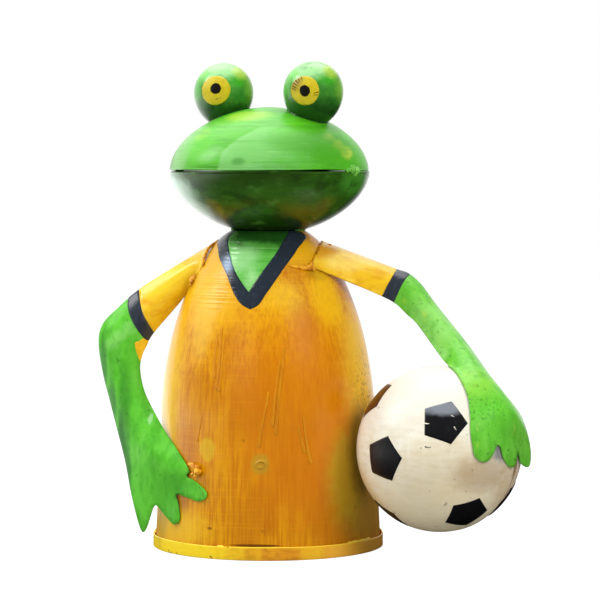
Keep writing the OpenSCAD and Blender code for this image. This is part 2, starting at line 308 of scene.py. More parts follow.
def turned(profile, steps=240, wobble=None):
    """Points and faces of a closed outline, as [radius, height], turned about the Z axis."""
    profile = np.array(profile, float)
    n = len(profile)
    angles = np.linspace(0, 2 * math.pi, steps, endpoint=False)
    points = []
    for a in angles:
        r, z = profile[:, 0], profile[:, 1]
        if wobble is not None:
            r, z = wobble(a, r, z)
        points.append(np.c_[r * math.sin(a), -r * math.cos(a), z])
    faces = []
    for k in range(steps):
        for i in range(n):
            a, b = k * n + i, k * n + (i + 1) % n
            c, d = (k + 1) % steps * n + (i + 1) % n, (k + 1) % steps * n + i
            faces.append((a, b, c, d))
    return np.concatenate(points), faces


def cup(profile, steps=192):
    """As turned(), for an outline from a point on the axis to another, such as a closed bowl's."""
    profile = np.array(profile, float)
    rings = profile[1:-1]
    n = len(rings)
    points = [(0, 0, profile[0][1])]
    for k in range(steps):
        a = 2 * math.pi * k / steps
        points += [(r * math.sin(a), -r * math.cos(a), z) for r, z in rings]
    points.append((0, 0, profile[-1][1]))
    faces = []
    for k in range(steps):
        here, there = 1 + k * n, 1 + (k + 1) % steps * n
        faces.append((0, here, there))
        faces += [(here + i, here + i + 1, there + i + 1, there + i) for i in range(n - 1)]
        faces.append((here + n - 1, len(points) - 1, there + n - 1))
    return np.array(points), faces


def densified(outline, step):
    """The closed outline with points added so that none are further apart than step."""
    outline = [np.array(p, float) for p in outline]
    out = []
    for a, b in zip(outline, outline[1:] + outline[:1]):
        n = max(1, math.ceil(np.linalg.norm(b - a) / step))
        out += [a + (b - a) * i / n for i in range(n)]
    return np.array(out)


def rounded(outline, amount=0.25, times=2):
    """The closed outline with its corners cut away again and again."""
    points = [np.array(p, float) for p in outline]
    for _ in range(times):
        cut = []
        for a, b in zip(points, points[1:] + points[:1]):
            cut += [a + (b - a) * amount, b + (a - b) * amount]
        points = cut
    return points


def inside(points, outline):
    """Which points lie inside the closed outline."""
    x, y = points[:, 0:1], points[:, 1:2]
    ax, ay = outline[:, 0], outline[:, 1]
    bx, by = np.roll(ax, -1), np.roll(ay, -1)
    crosses = (ay > y) != (by > y)
    with np.errstate(divide="ignore", invalid="ignore"):
        at = ax + (y - ay) * (bx - ax) / (by - ay)
    return (crosses & (x < at)).sum(axis=1) % 2 == 1


def plate(outline, place, top, bottom, step, lip=0.0):
    """Points and faces of a thin closed solid: what an outline covers on a surface, between two
    heights over it. place(points, height) gives the 3-D points; lip rounds the edge outwards."""
    edge = densified(outline, step)
    low, high = edge.min(axis=0), edge.max(axis=0)
    columns, rows = np.arange(low[0], high[0], step), np.arange(low[1], high[1], step)
    grid = np.array([(x, y) for x in columns for y in rows])
    grid = grid + GRID_SHIFT * step
    away = grid[:, None] - edge[None]
    near = np.min(np.hypot(away[..., 0], away[..., 1]), axis=1)
    grid = grid[inside(grid, edge) & (near > EDGE_GAP * step)]
    flat = [tuple(map(float, p)) for p in np.concatenate([edge, grid])]
    ring = len(edge)
    verts, _, faces, *_ = geometry.delaunay_2d_cdt(
        flat, [(i, (i + 1) % ring) for i in range(ring)], [list(range(ring))], 1, 1e-6)
    flat = np.array([(v[0], v[1]) for v in verts])
    count = len(flat)
    sides = {}
    for f in faces:
        for a, b in zip(f, f[1:] + f[:1]):
            sides[(a, b)] = sides.get((a, b), 0) + 1
    border = [(a, b) for a, b in sides if (b, a) not in sides]
    out = np.zeros((count, 2))
    for a, b in border:
        d = flat[b] - flat[a]
        out[a] += (d[1], -d[0])
        out[b] += (d[1], -d[0])
    length = np.hypot(out[:, 0], out[:, 1])
    out[length > 0] /= length[length > 0][:, None]
    rim = sorted({a for a, b in border})
    rim_id = {v: 2 * count + i for i, v in enumerate(rim)}
    middle = place(flat[rim] + out[rim] * lip, (top + bottom) / 2)
    points = np.concatenate([place(flat, top), place(flat, bottom), middle])
    solid = [tuple(f) for f in faces] + [tuple(v + count for v in reversed(f)) for f in faces]
    for a, b in border:
        solid.append((b, a, rim_id[a], rim_id[b]))
        solid.append((rim_id[b], rim_id[a], a + count, b + count))
    return points, solid


def flipped(faces):
    """The faces turned to look the other way."""
    return [tuple(reversed(f)) for f in faces]


def joined(parts):
    """Several (points, faces) as one."""
    points, faces, start = [], [], 0
    for some, more in parts:
        points.append(np.asarray(some))
        faces += [tuple(v + start for v in f) for f in more]
        start += len(some)
    return np.concatenate(points), faces


# --- The bell-shaped body --------------------------------------------------------------------

WAIST_R, WAIST_Z = 51.3, 60.0
NECK_R = 16.6
ARC_R = 40.0           # radius at which distances around the bell are measured
SHOULDER = np.array([(WAIST_R, WAIST_Z), (WAIST_R + 0.3, WAIST_Z + 38),
                     (NECK_R + 18.3, NECK_Z - 7.1), (NECK_R, NECK_Z)])


def bezier(control, t):
    """Places on the curve with four control points, at each share t of it."""
    t = np.asarray(t, float)[:, None]
    weights = np.hstack([(1 - t) ** 3, 3 * t * (1 - t) ** 2, 3 * t * t * (1 - t), t ** 3])
    return weights @ control


BELL = np.concatenate([np.c_[np.linspace(FOOT_R, WAIST_R, 60), np.linspace(SHELL_LOW[2], WAIST_Z, 60)],
                       bezier(SHOULDER, np.linspace(0, 1, 121)[1:])])
BELL_S = np.concatenate([[0], np.cumsum(np.hypot(*np.diff(BELL, axis=0).T))])
BELL_DIR = np.gradient(BELL, BELL_S, axis=0)


def on_bell(points, height):
    """Points given as [arc around at the radius ARC_R, length up the side] on the bell."""
    a, s = points[:, 0] / ARC_R, points[:, 1]
    r = np.interp(s, BELL_S, BELL[:, 0]) + height * np.interp(s, BELL_S, BELL_DIR[:, 1])
    z = np.interp(s, BELL_S, BELL[:, 1]) - height * np.interp(s, BELL_S, BELL_DIR[:, 0])
    return np.c_[r * np.sin(a), -r * np.cos(a), z]


def bell_point(azimuth, z):
    """An azimuth and height as on_bell() wants them."""
    return (math.radians(azimuth) * ARC_R, float(np.interp(z, BELL[:, 1], BELL_S)))


# --- The arms' sheets, lines and welds -------------------------------------------------------

# Each rib is [upper edge, lower edge, height of the bulge between them]; then come the palm and
# the line that the fingertips reach towards, each as four points across.
RIGHT_RIBS = [
    [(-22, -7.2, 147), (-26.5, -20.8, 135.5), 2],
    [(-44.3, -14.5, 132.8), (-36.5, -13.5, 121.3), 4],
    [(-59.5, -18, 122.7), (-51.5, -18.4, 102.6), 4],
    [(-69.2, -20, 114.2), (-54.6, -19.8, 96.6), 4],
    [(-76.5, -21.5, 106.3), (-56.6, -21.5, 91.2), 4],
    [(-78.3, -22.5, 97), (-57.2, -22.5, 85), 4],
    [(-75.8, -23, 82), (-55, -23.8, 76), 4],
    [(-72.4, -23.6, 70), (-50.2, -27, 68), 4],
    [(-68, -25.4, 56), (-40.2, -34.9, 56.3), 3],
    [(-62.8, -28.9, 41.3), (-26.2, -46.6, 42), 2]]
RIGHT_PALM = [(-58.5, -33, 25.3), (-45.5, -39, 22), (-32.2, -43.6, 28.5), (-23, -48.6, 36.2)]
RIGHT_REACH = [(-53.6, -35.7, 7), (-42, -40, 7), (-26, -47.5, 14), (-13, -53, 29)]
LEFT_RIBS = [
    [(25.4, 5.3, 146.2), (26.7, -20.8, 135.4), 2.5],
    [(38.7, 8, 141.2), (41, -8.2, 128), 4],
    [(60.2, 9.2, 133.3), (56.2, -2.8, 120.9), 4],
    [(67.3, 8.2, 131), (63.3, -2.7, 117.2), 4],
    [(73.6, 7, 126.2), (69.9, -4.8, 111.8), 4],
    [(82.6, 3.6, 115.7), (75.4, -7.1, 107.2), 4],
    [(96.9, -4.2, 100.9), (88.2, -17, 93.7), 4],
    [(104, -9.2, 93.4), (94.4, -24.5, 89.2), 4],
    [(111.2, -14.1, 85.2), (103.8, -38.7, 82.5), 4],
    [(119.8, -18.4, 76), (107.1, -43.7, 77.1), 5],
    [(125.8, -19.6, 69.2), (108.3, -46.5, 73.3), 5.5],
    [(129, -18.6, 61.8), (109.6, -49.5, 67.8), 6]]
LEFT_PALM = [(130.8, -15.6, 51.4), (127.6, -25, 50.8), (120.9, -43.1, 55.9), (111.3, -52, 59.1)]
LEFT_REACH = [(130.3, -11, 40), (126.8, -27, 42), (119, -44, 44), (109, -54, 48)]

ACROSS = 24.0          # drawn width of an arm, in millimetres
ALONG = 13.0           # drawn length from one rib to the next
HAND_GAP = 0.3         # between a hand and what it lies on
NEARBY = 0.4           # drawn distance to the places that give an arm's slope
ARM_STEP = 1.15        # between the points of an arm's mesh
BEAD_RINGS = 12        # rings of points on one bead of weld
LUMPS = 4              # smaller lumps around each bead


def catmull(a, b, c, d, t):
    """The smooth line's place between b and c, where t goes from 0 to 1."""
    return 0.5 * (2 * b + (c - a) * t + (2 * a - 5 * b + 4 * c - d) * t ** 2
                  + (3 * b - a - 3 * c + d) * t ** 3)


def picked(rows, i):
    """Row i, or the first or last row past the ends."""
    return rows[np.clip(i, 0, len(rows) - 1)]


class Arm:
    """The curved sheet of an arm; side is -1 for the frog's right arm and +1 for its left."""

    def __init__(self, ribs, palm, reach, side):
        self.side = side
        rows = []
        for i, (upper, lower, bulge) in enumerate(ribs):
            before, after = ribs[max(i - 1, 0)], ribs[min(i + 1, len(ribs) - 1)]
            way = np.add(after[0], after[1]) - np.add(before[0], before[1])
            upper, lower = np.array(upper, float), np.array(lower, float)
            out = np.cross(lower - upper, way)
            out *= side * bulge / np.linalg.norm(out)
            rows.append([upper, upper * 2 / 3 + lower / 3 + out, upper / 3 + lower * 2 / 3 + out, lower])
        self.rows = np.array(rows + [palm, reach], float)

    def surface(self, points):
        """The places on the sheet of points given in drawn millimetres, [across, along]."""
        s, t = points[:, 0] / ACROSS, np.clip(points[:, 1] / ALONG, 0, len(self.rows) - 1)
        i = np.clip(np.floor(t).astype(int), 0, len(self.rows) - 2)
        f = (t - i)[:, None, None]
        row = catmull(*[picked(self.rows, i + k) for k in (-1, 0, 1, 2)], f)
        u = 3 * s
        j = np.clip(np.floor(u).astype(int), 0, 2)
        f = (u - j)[:, None]
        m = np.arange(len(s))
        p = catmull(*[row[m, np.clip(j + k, 0, 3)] for k in (-1, 0, 1, 2)], f)
        return self.clear(p)

    def clear(self, p):
        """Keeps the hand off the ball and off the bell."""
        away = p - BALL_C
        d = np.linalg.norm(away, axis=1)[:, None]
        gap = BALL_R + SHEET + HAND_GAP
        p = np.where(d < gap, BALL_C + away * gap / d, p)
        r = np.hypot(p[:, 0], p[:, 1])
        least = FOOT_R + (WAIST_R - FOOT_R) * p[:, 2] / WAIST_Z + SHEET + HAND_GAP
        out = np.where((p[:, 2] < WAIST_Z) & (r < least), least / r, 1)[:, None]
        return np.c_[p[:, :2] * out, p[:, 2]]

    def place(self, points, height):
        """As surface(), at a height over the sheet."""
        across = self.surface(points + (NEARBY, 0)) - self.surface(points - (NEARBY, 0))
        along = self.surface(points + (0, NEARBY)) - self.surface(points - (0, NEARBY))
        normal = np.cross(across, along)
        normal *= self.side / np.linalg.norm(normal, axis=1)[:, None]
        return self.surface(points) + normal * height

    def drawn(self, outline):
        """An outline given as [share of the width, number of ribs along] in drawn millimetres."""
        return [(s * ACROSS, t * ALONG) for s, t in outline]


def curve(points, steps=6):
    """A smooth line through the points, which stays on its first and last."""
    p = np.array(points, float)
    out = []
    for i in range(len(p) - 1):
        for t in np.linspace(0, 1, steps, endpoint=False):
            out.append(catmull(*[picked(p, i + k) for k in (-1, 0, 1, 2)], t))
    out.append(p[-1])
    return [tuple(q) for q in out]


def blot(radius, wobble=0.04, phase=0.0, centre=(0, 0), tall=1.0, steps=48):
    """A hand-painted spot: a circle whose edge wavers a little."""
    out = []
    for k in range(steps):
        a = 2 * math.pi * k / steps
        r = radius * (1 + wobble * (math.sin(2 * a + phase) + 0.6 * math.sin(3 * a + 2.1 * phase)
                                    + 0.35 * math.sin(7 * a + phase)))
        out.append((centre[0] + r * math.cos(a), centre[1] + r * tall * math.sin(a)))
    return out


def apply_modifiers(piece):
    """Makes the mesh what its modifiers show, and takes them off."""
    graph = bpy.context.evaluated_depsgraph_get()
    mesh = bpy.data.meshes.new_from_object(piece.evaluated_get(graph))
    old = piece.data
    piece.modifiers.clear()
    piece.data = mesh
    bpy.data.meshes.remove(old)
    smoothed(mesh)


def ball_points(centre, radius):
    """Points and faces of one round bead."""
    angles = np.linspace(0, math.pi, BEAD_RINGS)[1:-1]
    side = [(radius * math.sin(a), radius * math.cos(a)) for a in angles]
    points, faces = cup([(0, radius)] + side + [(0, -radius)], 2 * BEAD_RINGS)
    return points + np.array(centre), flipped(faces)


def weld(name, beads, slot, material, voxel=0.22, replaces=()):
    """Beads of weld metal, as [x, y, z, radius], run together into one lump."""
    parts = []
    for i, (x, y, z, r) in enumerate(beads):
        parts.append(ball_points((x, y, z), r))
        for k in range(LUMPS):
            a = 2.4 * k + i
            aside = (0.62 * r * math.cos(a), 0.62 * r * math.sin(a), 0.5 * r * math.sin(2.3 * a))
            parts.append(ball_points(np.add((x, y, z), aside), 0.6 * r))
    piece = make(name, *joined(parts), slot, material, replaces)
    remesh = piece.modifiers.new("remesh", "REMESH")
    remesh.mode = "VOXEL"
    remesh.voxel_size = voxel * MM
    smooth = piece.modifiers.new("smooth", "SMOOTH")
    smooth.factor = 0.5
    smooth.iterations = 3
    bpy.context.view_layer.update()
    apply_modifiers(piece)


# --- Paints ----------------------------------------------------------------------------------

SHIRT = shirt_paint()
RUNS = plain_paint("runs_paint", (208, 134, 4), (184, 106, 4), (226, 158, 14),
                   (0.8, 0.8, 0.1), 0.3, 0.1).done()


def hoop_paint():
    p = Paint("hoop_paint", (226, 152, 24), 0.34)
    p.brush((186, 108, 10), (0.25, 0.25, 0.6), 0.4, 0.7, 0.6)
    p.patch((252, 222, 30), around(-42, 55, 3), (42, 42, 12), 0.9, 1.0)
    # Painted light: lighter on the left, where the ball shades the hoop.
    p.patch((255, 190, 56), around(66, 55, 3), (26, 26, 12), 0.9, 1.0)
    p.patch((244, 196, 30), around(38, 55, 3), (6, 6, 6), 0.6, 0.8)
    # Painted highlight: a bright line along the top of the ledge.
    p.over((252, 226, 60), p.ramp(p.up(), 5.6 * MM, 6.2 * MM, 0.0, 0.75))
    p.specks((120, 70, 10), 0.3, 0.68, 0.74)
    p.raise_by(p.noise((0.3, 0.3, 0.9), 3.0), 0.15)
    return p.done()


def crown_paint():
    p = plain_paint("crown_paint", (80, 176, 26), (60, 150, 20), (98, 184, 44),
                    (0.05, 0.05, 0.5), 0.36, 0.04)
    # Painted reflection: pale green on the crown's right side, where the white surroundings mirror.
    p.patch((126, 184, 108), (-40, -20, 190), (17, 22, 17), 0.8, 0.35, 0.2)
    p.patch((160, 196, 50), (-4, -22, 206), (11, 10, 3.4), 0.6, 0.8)
    # Painted highlights: yellow streaks down the crown's left side.
    for x, y, z in [(36.5, -22, 197.5), (40.5, -20, 193.5), (43.5, -17, 189)]:
        p.patch((196, 210, 70), (x, y, z), (3.2, 6, 3.4), 0.8, 0.8)
    p.patch((164, 196, 60), (-24, -30, 197), (5, 6, 3), 0.6, 0.8)
    # Painted reflection: a pale strip near the right rim.
    p.patch((140, 176, 118), (-46, -10, 184.5), (5, 14, 5), 0.5, 1.0)
    p.patch((64, 146, 26), (34, -26, 191), (15, 16, 9), 0.75, 1.0)
    p.patch((64, 112, 44), (-43, -20, 185), (4, 7, 8), 0.5, 1.0)
    p.patch((52, 128, 20), (-2, -48, 181.6), (40, 10, 1.6), 0.5, 1.0)
    p.patch((84, 190, 8), (-24, -38, 194), (10, 16, 11), 0.55, 1.0)
    # Painted reflection: the pale sheen of the light above, with a sharp edge.
    p.painted_sheen((120, 188, 104), ((17, -45, 178), (28.5, 200, 24)), ((-7, -48, 188), (30, 28, 17)), 0.8)
    p.brush((70, 158, 34), (0.03, 0.03, 0.7), 0.52, 0.7, 0.55)
    p.brush((150, 206, 118), (0.1, 0.1, 1.1), 0.58, 0.75, 0.35)
    p.patch((76, 154, 44), (24, -38, 193), (13, 10, 4), 0.55, 1.0)
    # Painted shade: a dark smudge for a small dent above the mouth.
    p.patch((56, 128, 40), (-1, -46, 184), (3, 4, 1.8), 0.6, 0.9)
    return p.done()


def jaw_paint():
    p = plain_paint("jaw_paint", (46, 92, 16), (32, 66, 8), (66, 108, 30),
                    (0.06, 0.06, 0.3), 0.3, 0.05, 0.4)
    p.patch((30, 56, 6), (0, -40, 178), (38, 16, 5), 0.7, 1.0)
    # Painted reflection of the orange shirt, yellow-brown.
    p.patch((100, 100, 8), (-17, -30, 161), (5, 10, 7), 0.75, 0.6)
    # Painted shade: the jaw's underside, darkened over the neck.
    p.patch((26, 50, 4), (2, -26, 153), (28, 20, 6), 0.8, 1.0)
    # Painted reflection of the orange shirt, faint.
    p.patch((110, 92, 20), (22, -30, 160), (9, 10, 4), 0.25, 1.0)
    # Painted reflection: lighter green along the jaw's left edge.
    p.patch((70, 150, 40), (46, -10, 174), (7, 14, 6), 0.6, 1.0)
    p.brush((84, 138, 54), (0.09, 0.09, 0.2), 0.54, 0.7, 0.5)
    p.brush((22, 50, 6), (0.11, 0.11, 0.17), 0.5, 0.66, 0.6)
    # Painted reflection: whitish patches on the jaw's right side, where the white surroundings mirror.
    p.patch((168, 204, 180), (-40, -18, 166), (10.5, 22, 12), 0.9, 0.8, 0.5, 0.12)
    p.patch((176, 206, 186), (-28, -19, 161), (9, 14, 6), 0.85, 0.8, 0.4, 0.15)
    p.patch((170, 202, 178), (-33, -29, 169), (8, 11, 7), 0.7, 1.0, 0.5, 0.2)
    return p.done()


def eye_paint(name, x, y, z):
    p = plain_paint(name, (60, 132, 40), (40, 104, 30), (96, 170, 60), (0.3, 0.12, 0.3), 0.24, 0.07)
    # Painted highlight: a pale sheen on the ball's top.
    p.patch((160, 216, 146), (x - 1, y - 6, z + 10), (11, 14, 6), 0.8, 0.7)
    p.brush((48, 120, 36), (0.12, 0.12, 0.25), 0.5, 0.68, 0.6)
    p.patch((110, 190, 96), (x - 11, y - 6, z - 1), (4, 8, 8), 0.6, 0.8)
    # Painted shade: the ball's underside, here and in the next patch.
    p.patch((18, 58, 12), (x + 2, y - 6, z - 11), (15, 14, 8), 0.9, 1.0)
    p.patch((22, 76, 16), (x - 8, y - 8, z - 7), (6, 8, 5), 0.6, 1.0)
    p.patch((56, 170, 20), (x + 8, y - 8, z + 5), (5, 5, 3), 0.5, 0.9)
    p.patch((170, 200, 50), (x + 9, y - 3, z + 9), (3.5, 6, 4.5), 0.65, 0.8)
    p.patch((150, 206, 60), (x + 12.6, y, z + 1), (3, 6, 6), 0.4, 0.9)
    p.patch((90, 190, 44), (x - 7, y - 9, z + 7), (4, 5, 4), 0.5, 0.8)
    return p.done()


def arm_paint(name, base, darker, lighter, shine):
    p = plain_paint(name, base, darker, lighter, (0.22, 0.22, 0.1), 0.3, 0.1, shine)
    p.specks((46, 104, 34), 0.22, 0.72, 0.78, 0.45)
    return p


def right_arm_paint():
    p = arm_paint("right_arm_paint", (94, 190, 54), (70, 164, 34), (124, 208, 84), 0.14)
    p.patch((50, 116, 40), (-63, -28, 58), (3.5, 8, 26), 0.6, 1.0)
    # Painted highlights: pale streaks across the elbow.
    for x, z in [(-71, 97), (-66.5, 101), (-62, 105)]:
        p.patch((160, 222, 130), (x, -25, z), (3.6, 8, 2.8), 0.3, 1.0)
    # Painted highlight on a small dent at the wrist.
    p.patch((176, 226, 170), (-49.1, -31.4, 62.4), (1.1, 3, 2.6), 0.5, 1.0)
    for x, z in [(-75.5, 86), (-70.5, 66), (-65.5, 48), (-61, 32)]:
        p.patch((24, 84, 40), (x, -28, z), (2.6, 14, 15), 0.6, 0.9)
    p.brush((54, 140, 32), (0.16, 0.16, 0.07), 0.48, 0.66, 0.42)
    p.specks((40, 84, 34), 0.5, 0.68, 0.74, 0.5)
    p.patch((226, 190, 30), (-13, -54, 27), (2, 5, 3), 0.8, 0.5)
    p.patch((56, 140, 40), (-36, -44, 26), (12, 8, 12), 0.35, 1.0)
    return p.done()


def left_arm_paint():
    p = arm_paint("left_arm_paint", (106, 190, 56), (82, 168, 38), (136, 206, 84), 0.32)
    p.patch((140, 196, 50), (108, -34, 80), (9, 10, 12), 0.4, 1.0)
    p.specks((62, 130, 30), 0.3, 0.6, 0.7, 0.4)
    p.patch((150, 214, 112), (84, -14, 112), (14, 14, 16), 0.6, 1.0)
    p.patch((92, 192, 48), (118, -40, 66), (12, 14, 12), 0.5, 1.0)
    p.brush((76, 168, 34), (0.14, 0.14, 0.07), 0.5, 0.66, 0.5)
    p.brush((176, 206, 70), (0.2, 0.2, 0.1), 0.62, 0.74, 0.5)
    p.specks((44, 96, 26), 0.55, 0.66, 0.72, 0.5)
    knuckles = p.spot((113, -43, 72), (9, 12, 5), 1.0, 0.3)
    p.specks((48, 104, 28), 0.7, 0.54, 0.64, 0.6, knuckles)
    return p.done()


def sleeve_paint():
    p = plain_paint("sleeve_paint", (236, 190, 30), (218, 152, 14), (248, 216, 74),
                    (0.12, 0.3, 0.3), 0.3, 0.1)
    p.patch((246, 206, 30), (-42, -18, 128), (18, 12, 9), 0.6, 1.0)
    p.patch((206, 126, 16), (31, -8, 143), (4, 12, 5), 0.6, 1.0)
    # Painted highlight: a pale streak on the top of the left sleeve.
    p.patch((250, 226, 130), (42, -6, 137), (12, 14, 4), 0.4, 1.0)
    return p.done()


def ball_paint(name, base):
    p = Paint(name, base, 0.36)
    p.brush((214, 202, 168), (0.12, 0.12, 0.5), 0.35, 0.7, 0.65)
    p.brush((238, 234, 218), (0.3, 0.3, 0.12), 0.5, 0.75, 0.6)
    x, y, z = BALL_C
    # Painted light: the lower front lighter, as lit from the floor.
    p.patch((246, 230, 188), (x + 2, y - 20, z - 30), (40, 34, 20), 0.7, 1.0)
    # Painted shadow of the left hand, its light brown part.
    p.patch((214, 192, 146), (x + 10, y - 34, z - 6), (20, 16, 14), 0.4, 1.0)
    # Painted shade: a dark sliver in the seam's gap, under the fingers.
    p.patch((70, 46, 30), (x + 37.2, y - 7, z - 6), (2.4, 2.4, 7), 0.8, 0.7)
    p.patch((216, 212, 200), (x - 4, y - 10, z + 28), (42, 36, 20), 0.85, 1.0)
    # Painted shadow under the left hand's fingers.
    p.patch((164, 130, 88), (x + 26, y - 27, z - 8), (14, 15, 8), 0.55, 1.0)
    # Painted shade between the left hand's fingers.
    p.patch((104, 104, 116), (121.5, -41, 53), (4, 5, 5), 0.8, 0.9)
    p.patch((226, 190, 110), (x - 30, y - 12, z - 20), (10, 12, 16), 0.5, 1.0)
    p.patch((196, 160, 104), (x + 34, y - 8, z - 16), (7, 14, 12), 0.5, 1.0)
    p.raise_by(p.noise((0.5, 0.5, 1.2), 3.0), 0.08)
    p.specks((150, 128, 104), 0.3, 0.72, 0.78, 0.6)
    return p.done()


def dark_paint(name, base, lighter, roughness=0.28, shine=0.5):
    p = Paint(name, base, roughness, shine)
    p.brush(lighter, (0.5, 0.5, 0.12), 0.5, 0.8, 0.35)
    p.raise_by(p.noise((0.9, 0.9, 0.3), 3.0), 0.08)
    return p


def ball_patch_paint():
    p = dark_paint("patch_paint", (20, 20, 22), (40, 42, 48), 0.35, 0.4)
    x, y, z = BALL_C
    p.patch((70, 22, 4), (x - 30, y - 8, z + 24), (12, 16, 14), 0.95, 0.5)
    # Painted reflection: a grey-blue sheen on top of one black patch.
    p.patch((150, 156, 166), (x + 9, y - 30, z + 22), (11, 8, 3), 0.6, 1.0)
    return p.done()


def spun_dark_paint():
    p = dark_paint("collar_paint", (36, 44, 54), (66, 76, 90), 0.24)
    # Painted highlights: a pale bluish sheen on the V's right arm, and a fainter grey one beside it.
    p.patch((134, 160, 190), (-10.5, -27, 134), (5, 6, 6), 0.85, 1.0)
    p.patch((110, 122, 132), (5, -27, 137), (4, 6, 2.5), 0.4, 1.0)
    spin_rings(p)
    return p.done()


def neck_skin_paint():
    p = plain_paint("neck_skin_paint", (96, 184, 70), (70, 156, 48), (150, 212, 124),
                    (0.06, 0.06, 0.9), 0.24, 0.1)
    # Painted highlights: whitish on the lower part of the triangle.
    p.patch((172, 226, 160), (-4, -27, 137), (8, 9, 8), 0.5, 1.0)
    p.patch((176, 226, 160), (2, -31, 127), (5, 6, 6), 0.7, 1.0)
    # Painted shadow of the head over the top of the neck.
    p.patch((16, 62, 12), (4, -18, 151), (24, 12, 9), 0.95, 1.0)
    spin_rings(p)
    return p.done()


def iris_paint():
    p = Paint("iris_paint", (196, 178, 22), 0.45)
    p.brush((176, 150, 14), (0.5, 0.5, 0.5), 0.4, 0.7, 0.5)
    low, high = box_mm("left_eye_upper_cup")
    x = (low[0] + high[0]) / 2
    p.patch((132, 104, 22), (x - 6, low[1], low[2] + 4), (4.5, 8, 4.5), 0.6, 1.0)
    p.raise_by(p.noise((0.8, 0.8, 0.8), 3.0), 0.06)
    return p.done()


def weld_paint(name, base, darker):
    p = Paint(name, base, 0.3)
    p.brush(darker, (0.5, 0.5, 0.5), 0.4, 0.6, 0.8)
    p.raise_by(p.noise((0.4, 0.4, 0.4), 2.0), 0.25)
    return p.done()


HOOP = hoop_paint()
SLEEVE = sleeve_paint()
CUFF = dark_paint("cuff_paint", (44, 50, 60), (82, 92, 106)).done()
COLLAR = spun_dark_paint()
SKIN = neck_skin_paint()
CROWN = crown_paint()
JAW = jaw_paint()
IRIS = iris_paint()
BLACK = dark_paint("black_paint", (22, 18, 14), (40, 36, 34), 0.5, 0.15).done()
RIGHT_ARM = right_arm_paint()
LEFT_ARM = left_arm_paint()
BALL = ball_paint("ball_paint", (232, 227, 208))
BALL_REAR = ball_paint("ball_rear_paint", (232, 214, 208))
BALL_SEAM = dark_paint("ball_seam_paint", (112, 78, 46), (60, 40, 26), 0.5, 0.3).done()
PATCH = ball_patch_paint()
SEAM = weld_paint("seam_paint", (226, 160, 20), (160, 88, 10))
ORANGE_WELD = weld_paint("orange_weld_paint", (240, 174, 36), (176, 96, 14))
GREEN_WELD = weld_paint("green_weld_paint", (124, 198, 80), (76, 150, 44))
CREAM_WELD = weld_paint("cream_weld_paint", (220, 200, 168), (150, 120, 80))


# --- Body ------------------------------------------------------------------------------------

def inner_line(profile, thickness):
    """The other side of a sheet whose outer side is the profile, in the same order."""
    profile = np.array(profile, float)
    way = np.gradient(profile, axis=0)
    way /= np.hypot(way[:, 0], way[:, 1])[:, None]
    return profile - thickness * np.c_[way[:, 1], -way[:, 0]]


def build_body():
    outer = BELL[::2]
    profile = np.concatenate([outer, inner_line(outer, SHEET)[::-1]])
    make("bell", *turned(profile, 256), "body_paint", SHIRT, ["body_shell"])

    inner, outer_r, top = FOOT_R + 0.05, HOOP_HIGH[0], HOOP_HIGH[2]
    foot = [(inner, 0), (outer_r - 0.3, 0), (outer_r - 0.06, 0.12), (outer_r, 0.4),
            (outer_r - 0.05, 2.2), (outer_r - 0.02, 4.4)]
    lip = []
    for a in np.linspace(0, 2.2, 7):
        lip.append((outer_r - 0.3 + 0.3 * math.cos(a), top - 0.45 + 0.45 * math.sin(a)))
    hoop = foot + lip + [(inner + 0.42, top - 0.5), (inner + 0.3, top - 1.4), (inner, 1.2)]

    def wavy(a, r, z):
        """The ledge isn't quite level."""
        rise = 0.14 * math.sin(3 * a + 0.5) + 0.1 * math.sin(7 * a) - 0.2
        return r, z + rise * np.clip((z - 3) / 3, 0, 1)

    make("hoop", *turned(hoop, 256, wavy), "hoop_paint", HOOP, ["base_hoop"])


def arc_points(outline):
    """An outline of azimuths and heights as on_bell() wants it."""
    return [bell_point(a, z) for a, z in outline]


def build_collar():
    """The painted neck opening of the shirt: a green triangle of skin in a black V."""
    outer_left = curve([(-70, 149.6), (-66, 147.4), (-60, 145.8), (-50, 144.2), (-39.5, 141.4),
                        (-19.5, 132.4), (-7.5, 122), (-2, 117.9), (4.5, 115.5)])
    outer_right = curve([(4.5, 115.5), (10, 117.8), (16, 123.9), (29, 134.4), (45.5, 142.6), (58, 146),
                         (68, 147.6), (74, 149), (74, 150.4)])
    inner = curve([(50, 151.5), (39, 148.6), (30, 145), (13.6, 134.4), (2.4, 123.4)]) \
        + curve([(2.4, 123.4), (-8.6, 131.1), (-23.8, 141.6), (-37, 147), (-48, 151.5)])[1:]
    top_right = curve([(74, 150.4), (70, 151.5), (60, 151.55), (50, 151.5)])
    top_left = curve([(-48, 151.5), (-58, 151.5), (-68, 151.2), (-70, 149.6)])
    band = outer_left + outer_right[1:] + top_right[1:] + inner[1:] + top_left[1:-1]
    make("collar_band", *plate(arc_points(band), on_bell, PAINT * 1.6, SUNK, 0.9), "collar_black", COLLAR)
    skin = inner + curve([(-48, 151.5), (0, 151.55), (50, 151.5)], 12)[1:-1]
    make("neck_skin", *plate(arc_points(skin), on_bell, PAINT, SUNK, 0.9), "frog_green", SKIN)


# Runs of paint down the shirt: azimuth and height of the top and the foot, and the half width
DRIPS = [(-12.6, 107, -12.4, 78.6, 0.55), (-14.9, 104, -14.6, 84, 0.4), (-10.2, 100, -11.4, 77.6, 0.45),
         (25.3, 98, 19.4, 58, 0.5), (22.6, 92, 17.6, 62, 0.4), (34.4, 66, 38.4, 44, 0.5),
         (16.2, 78, 11.6, 52, 0.4), (-21.0, 66, -23.5, 54, 0.35), (31.5, 62, 34.6, 49, 0.35)]


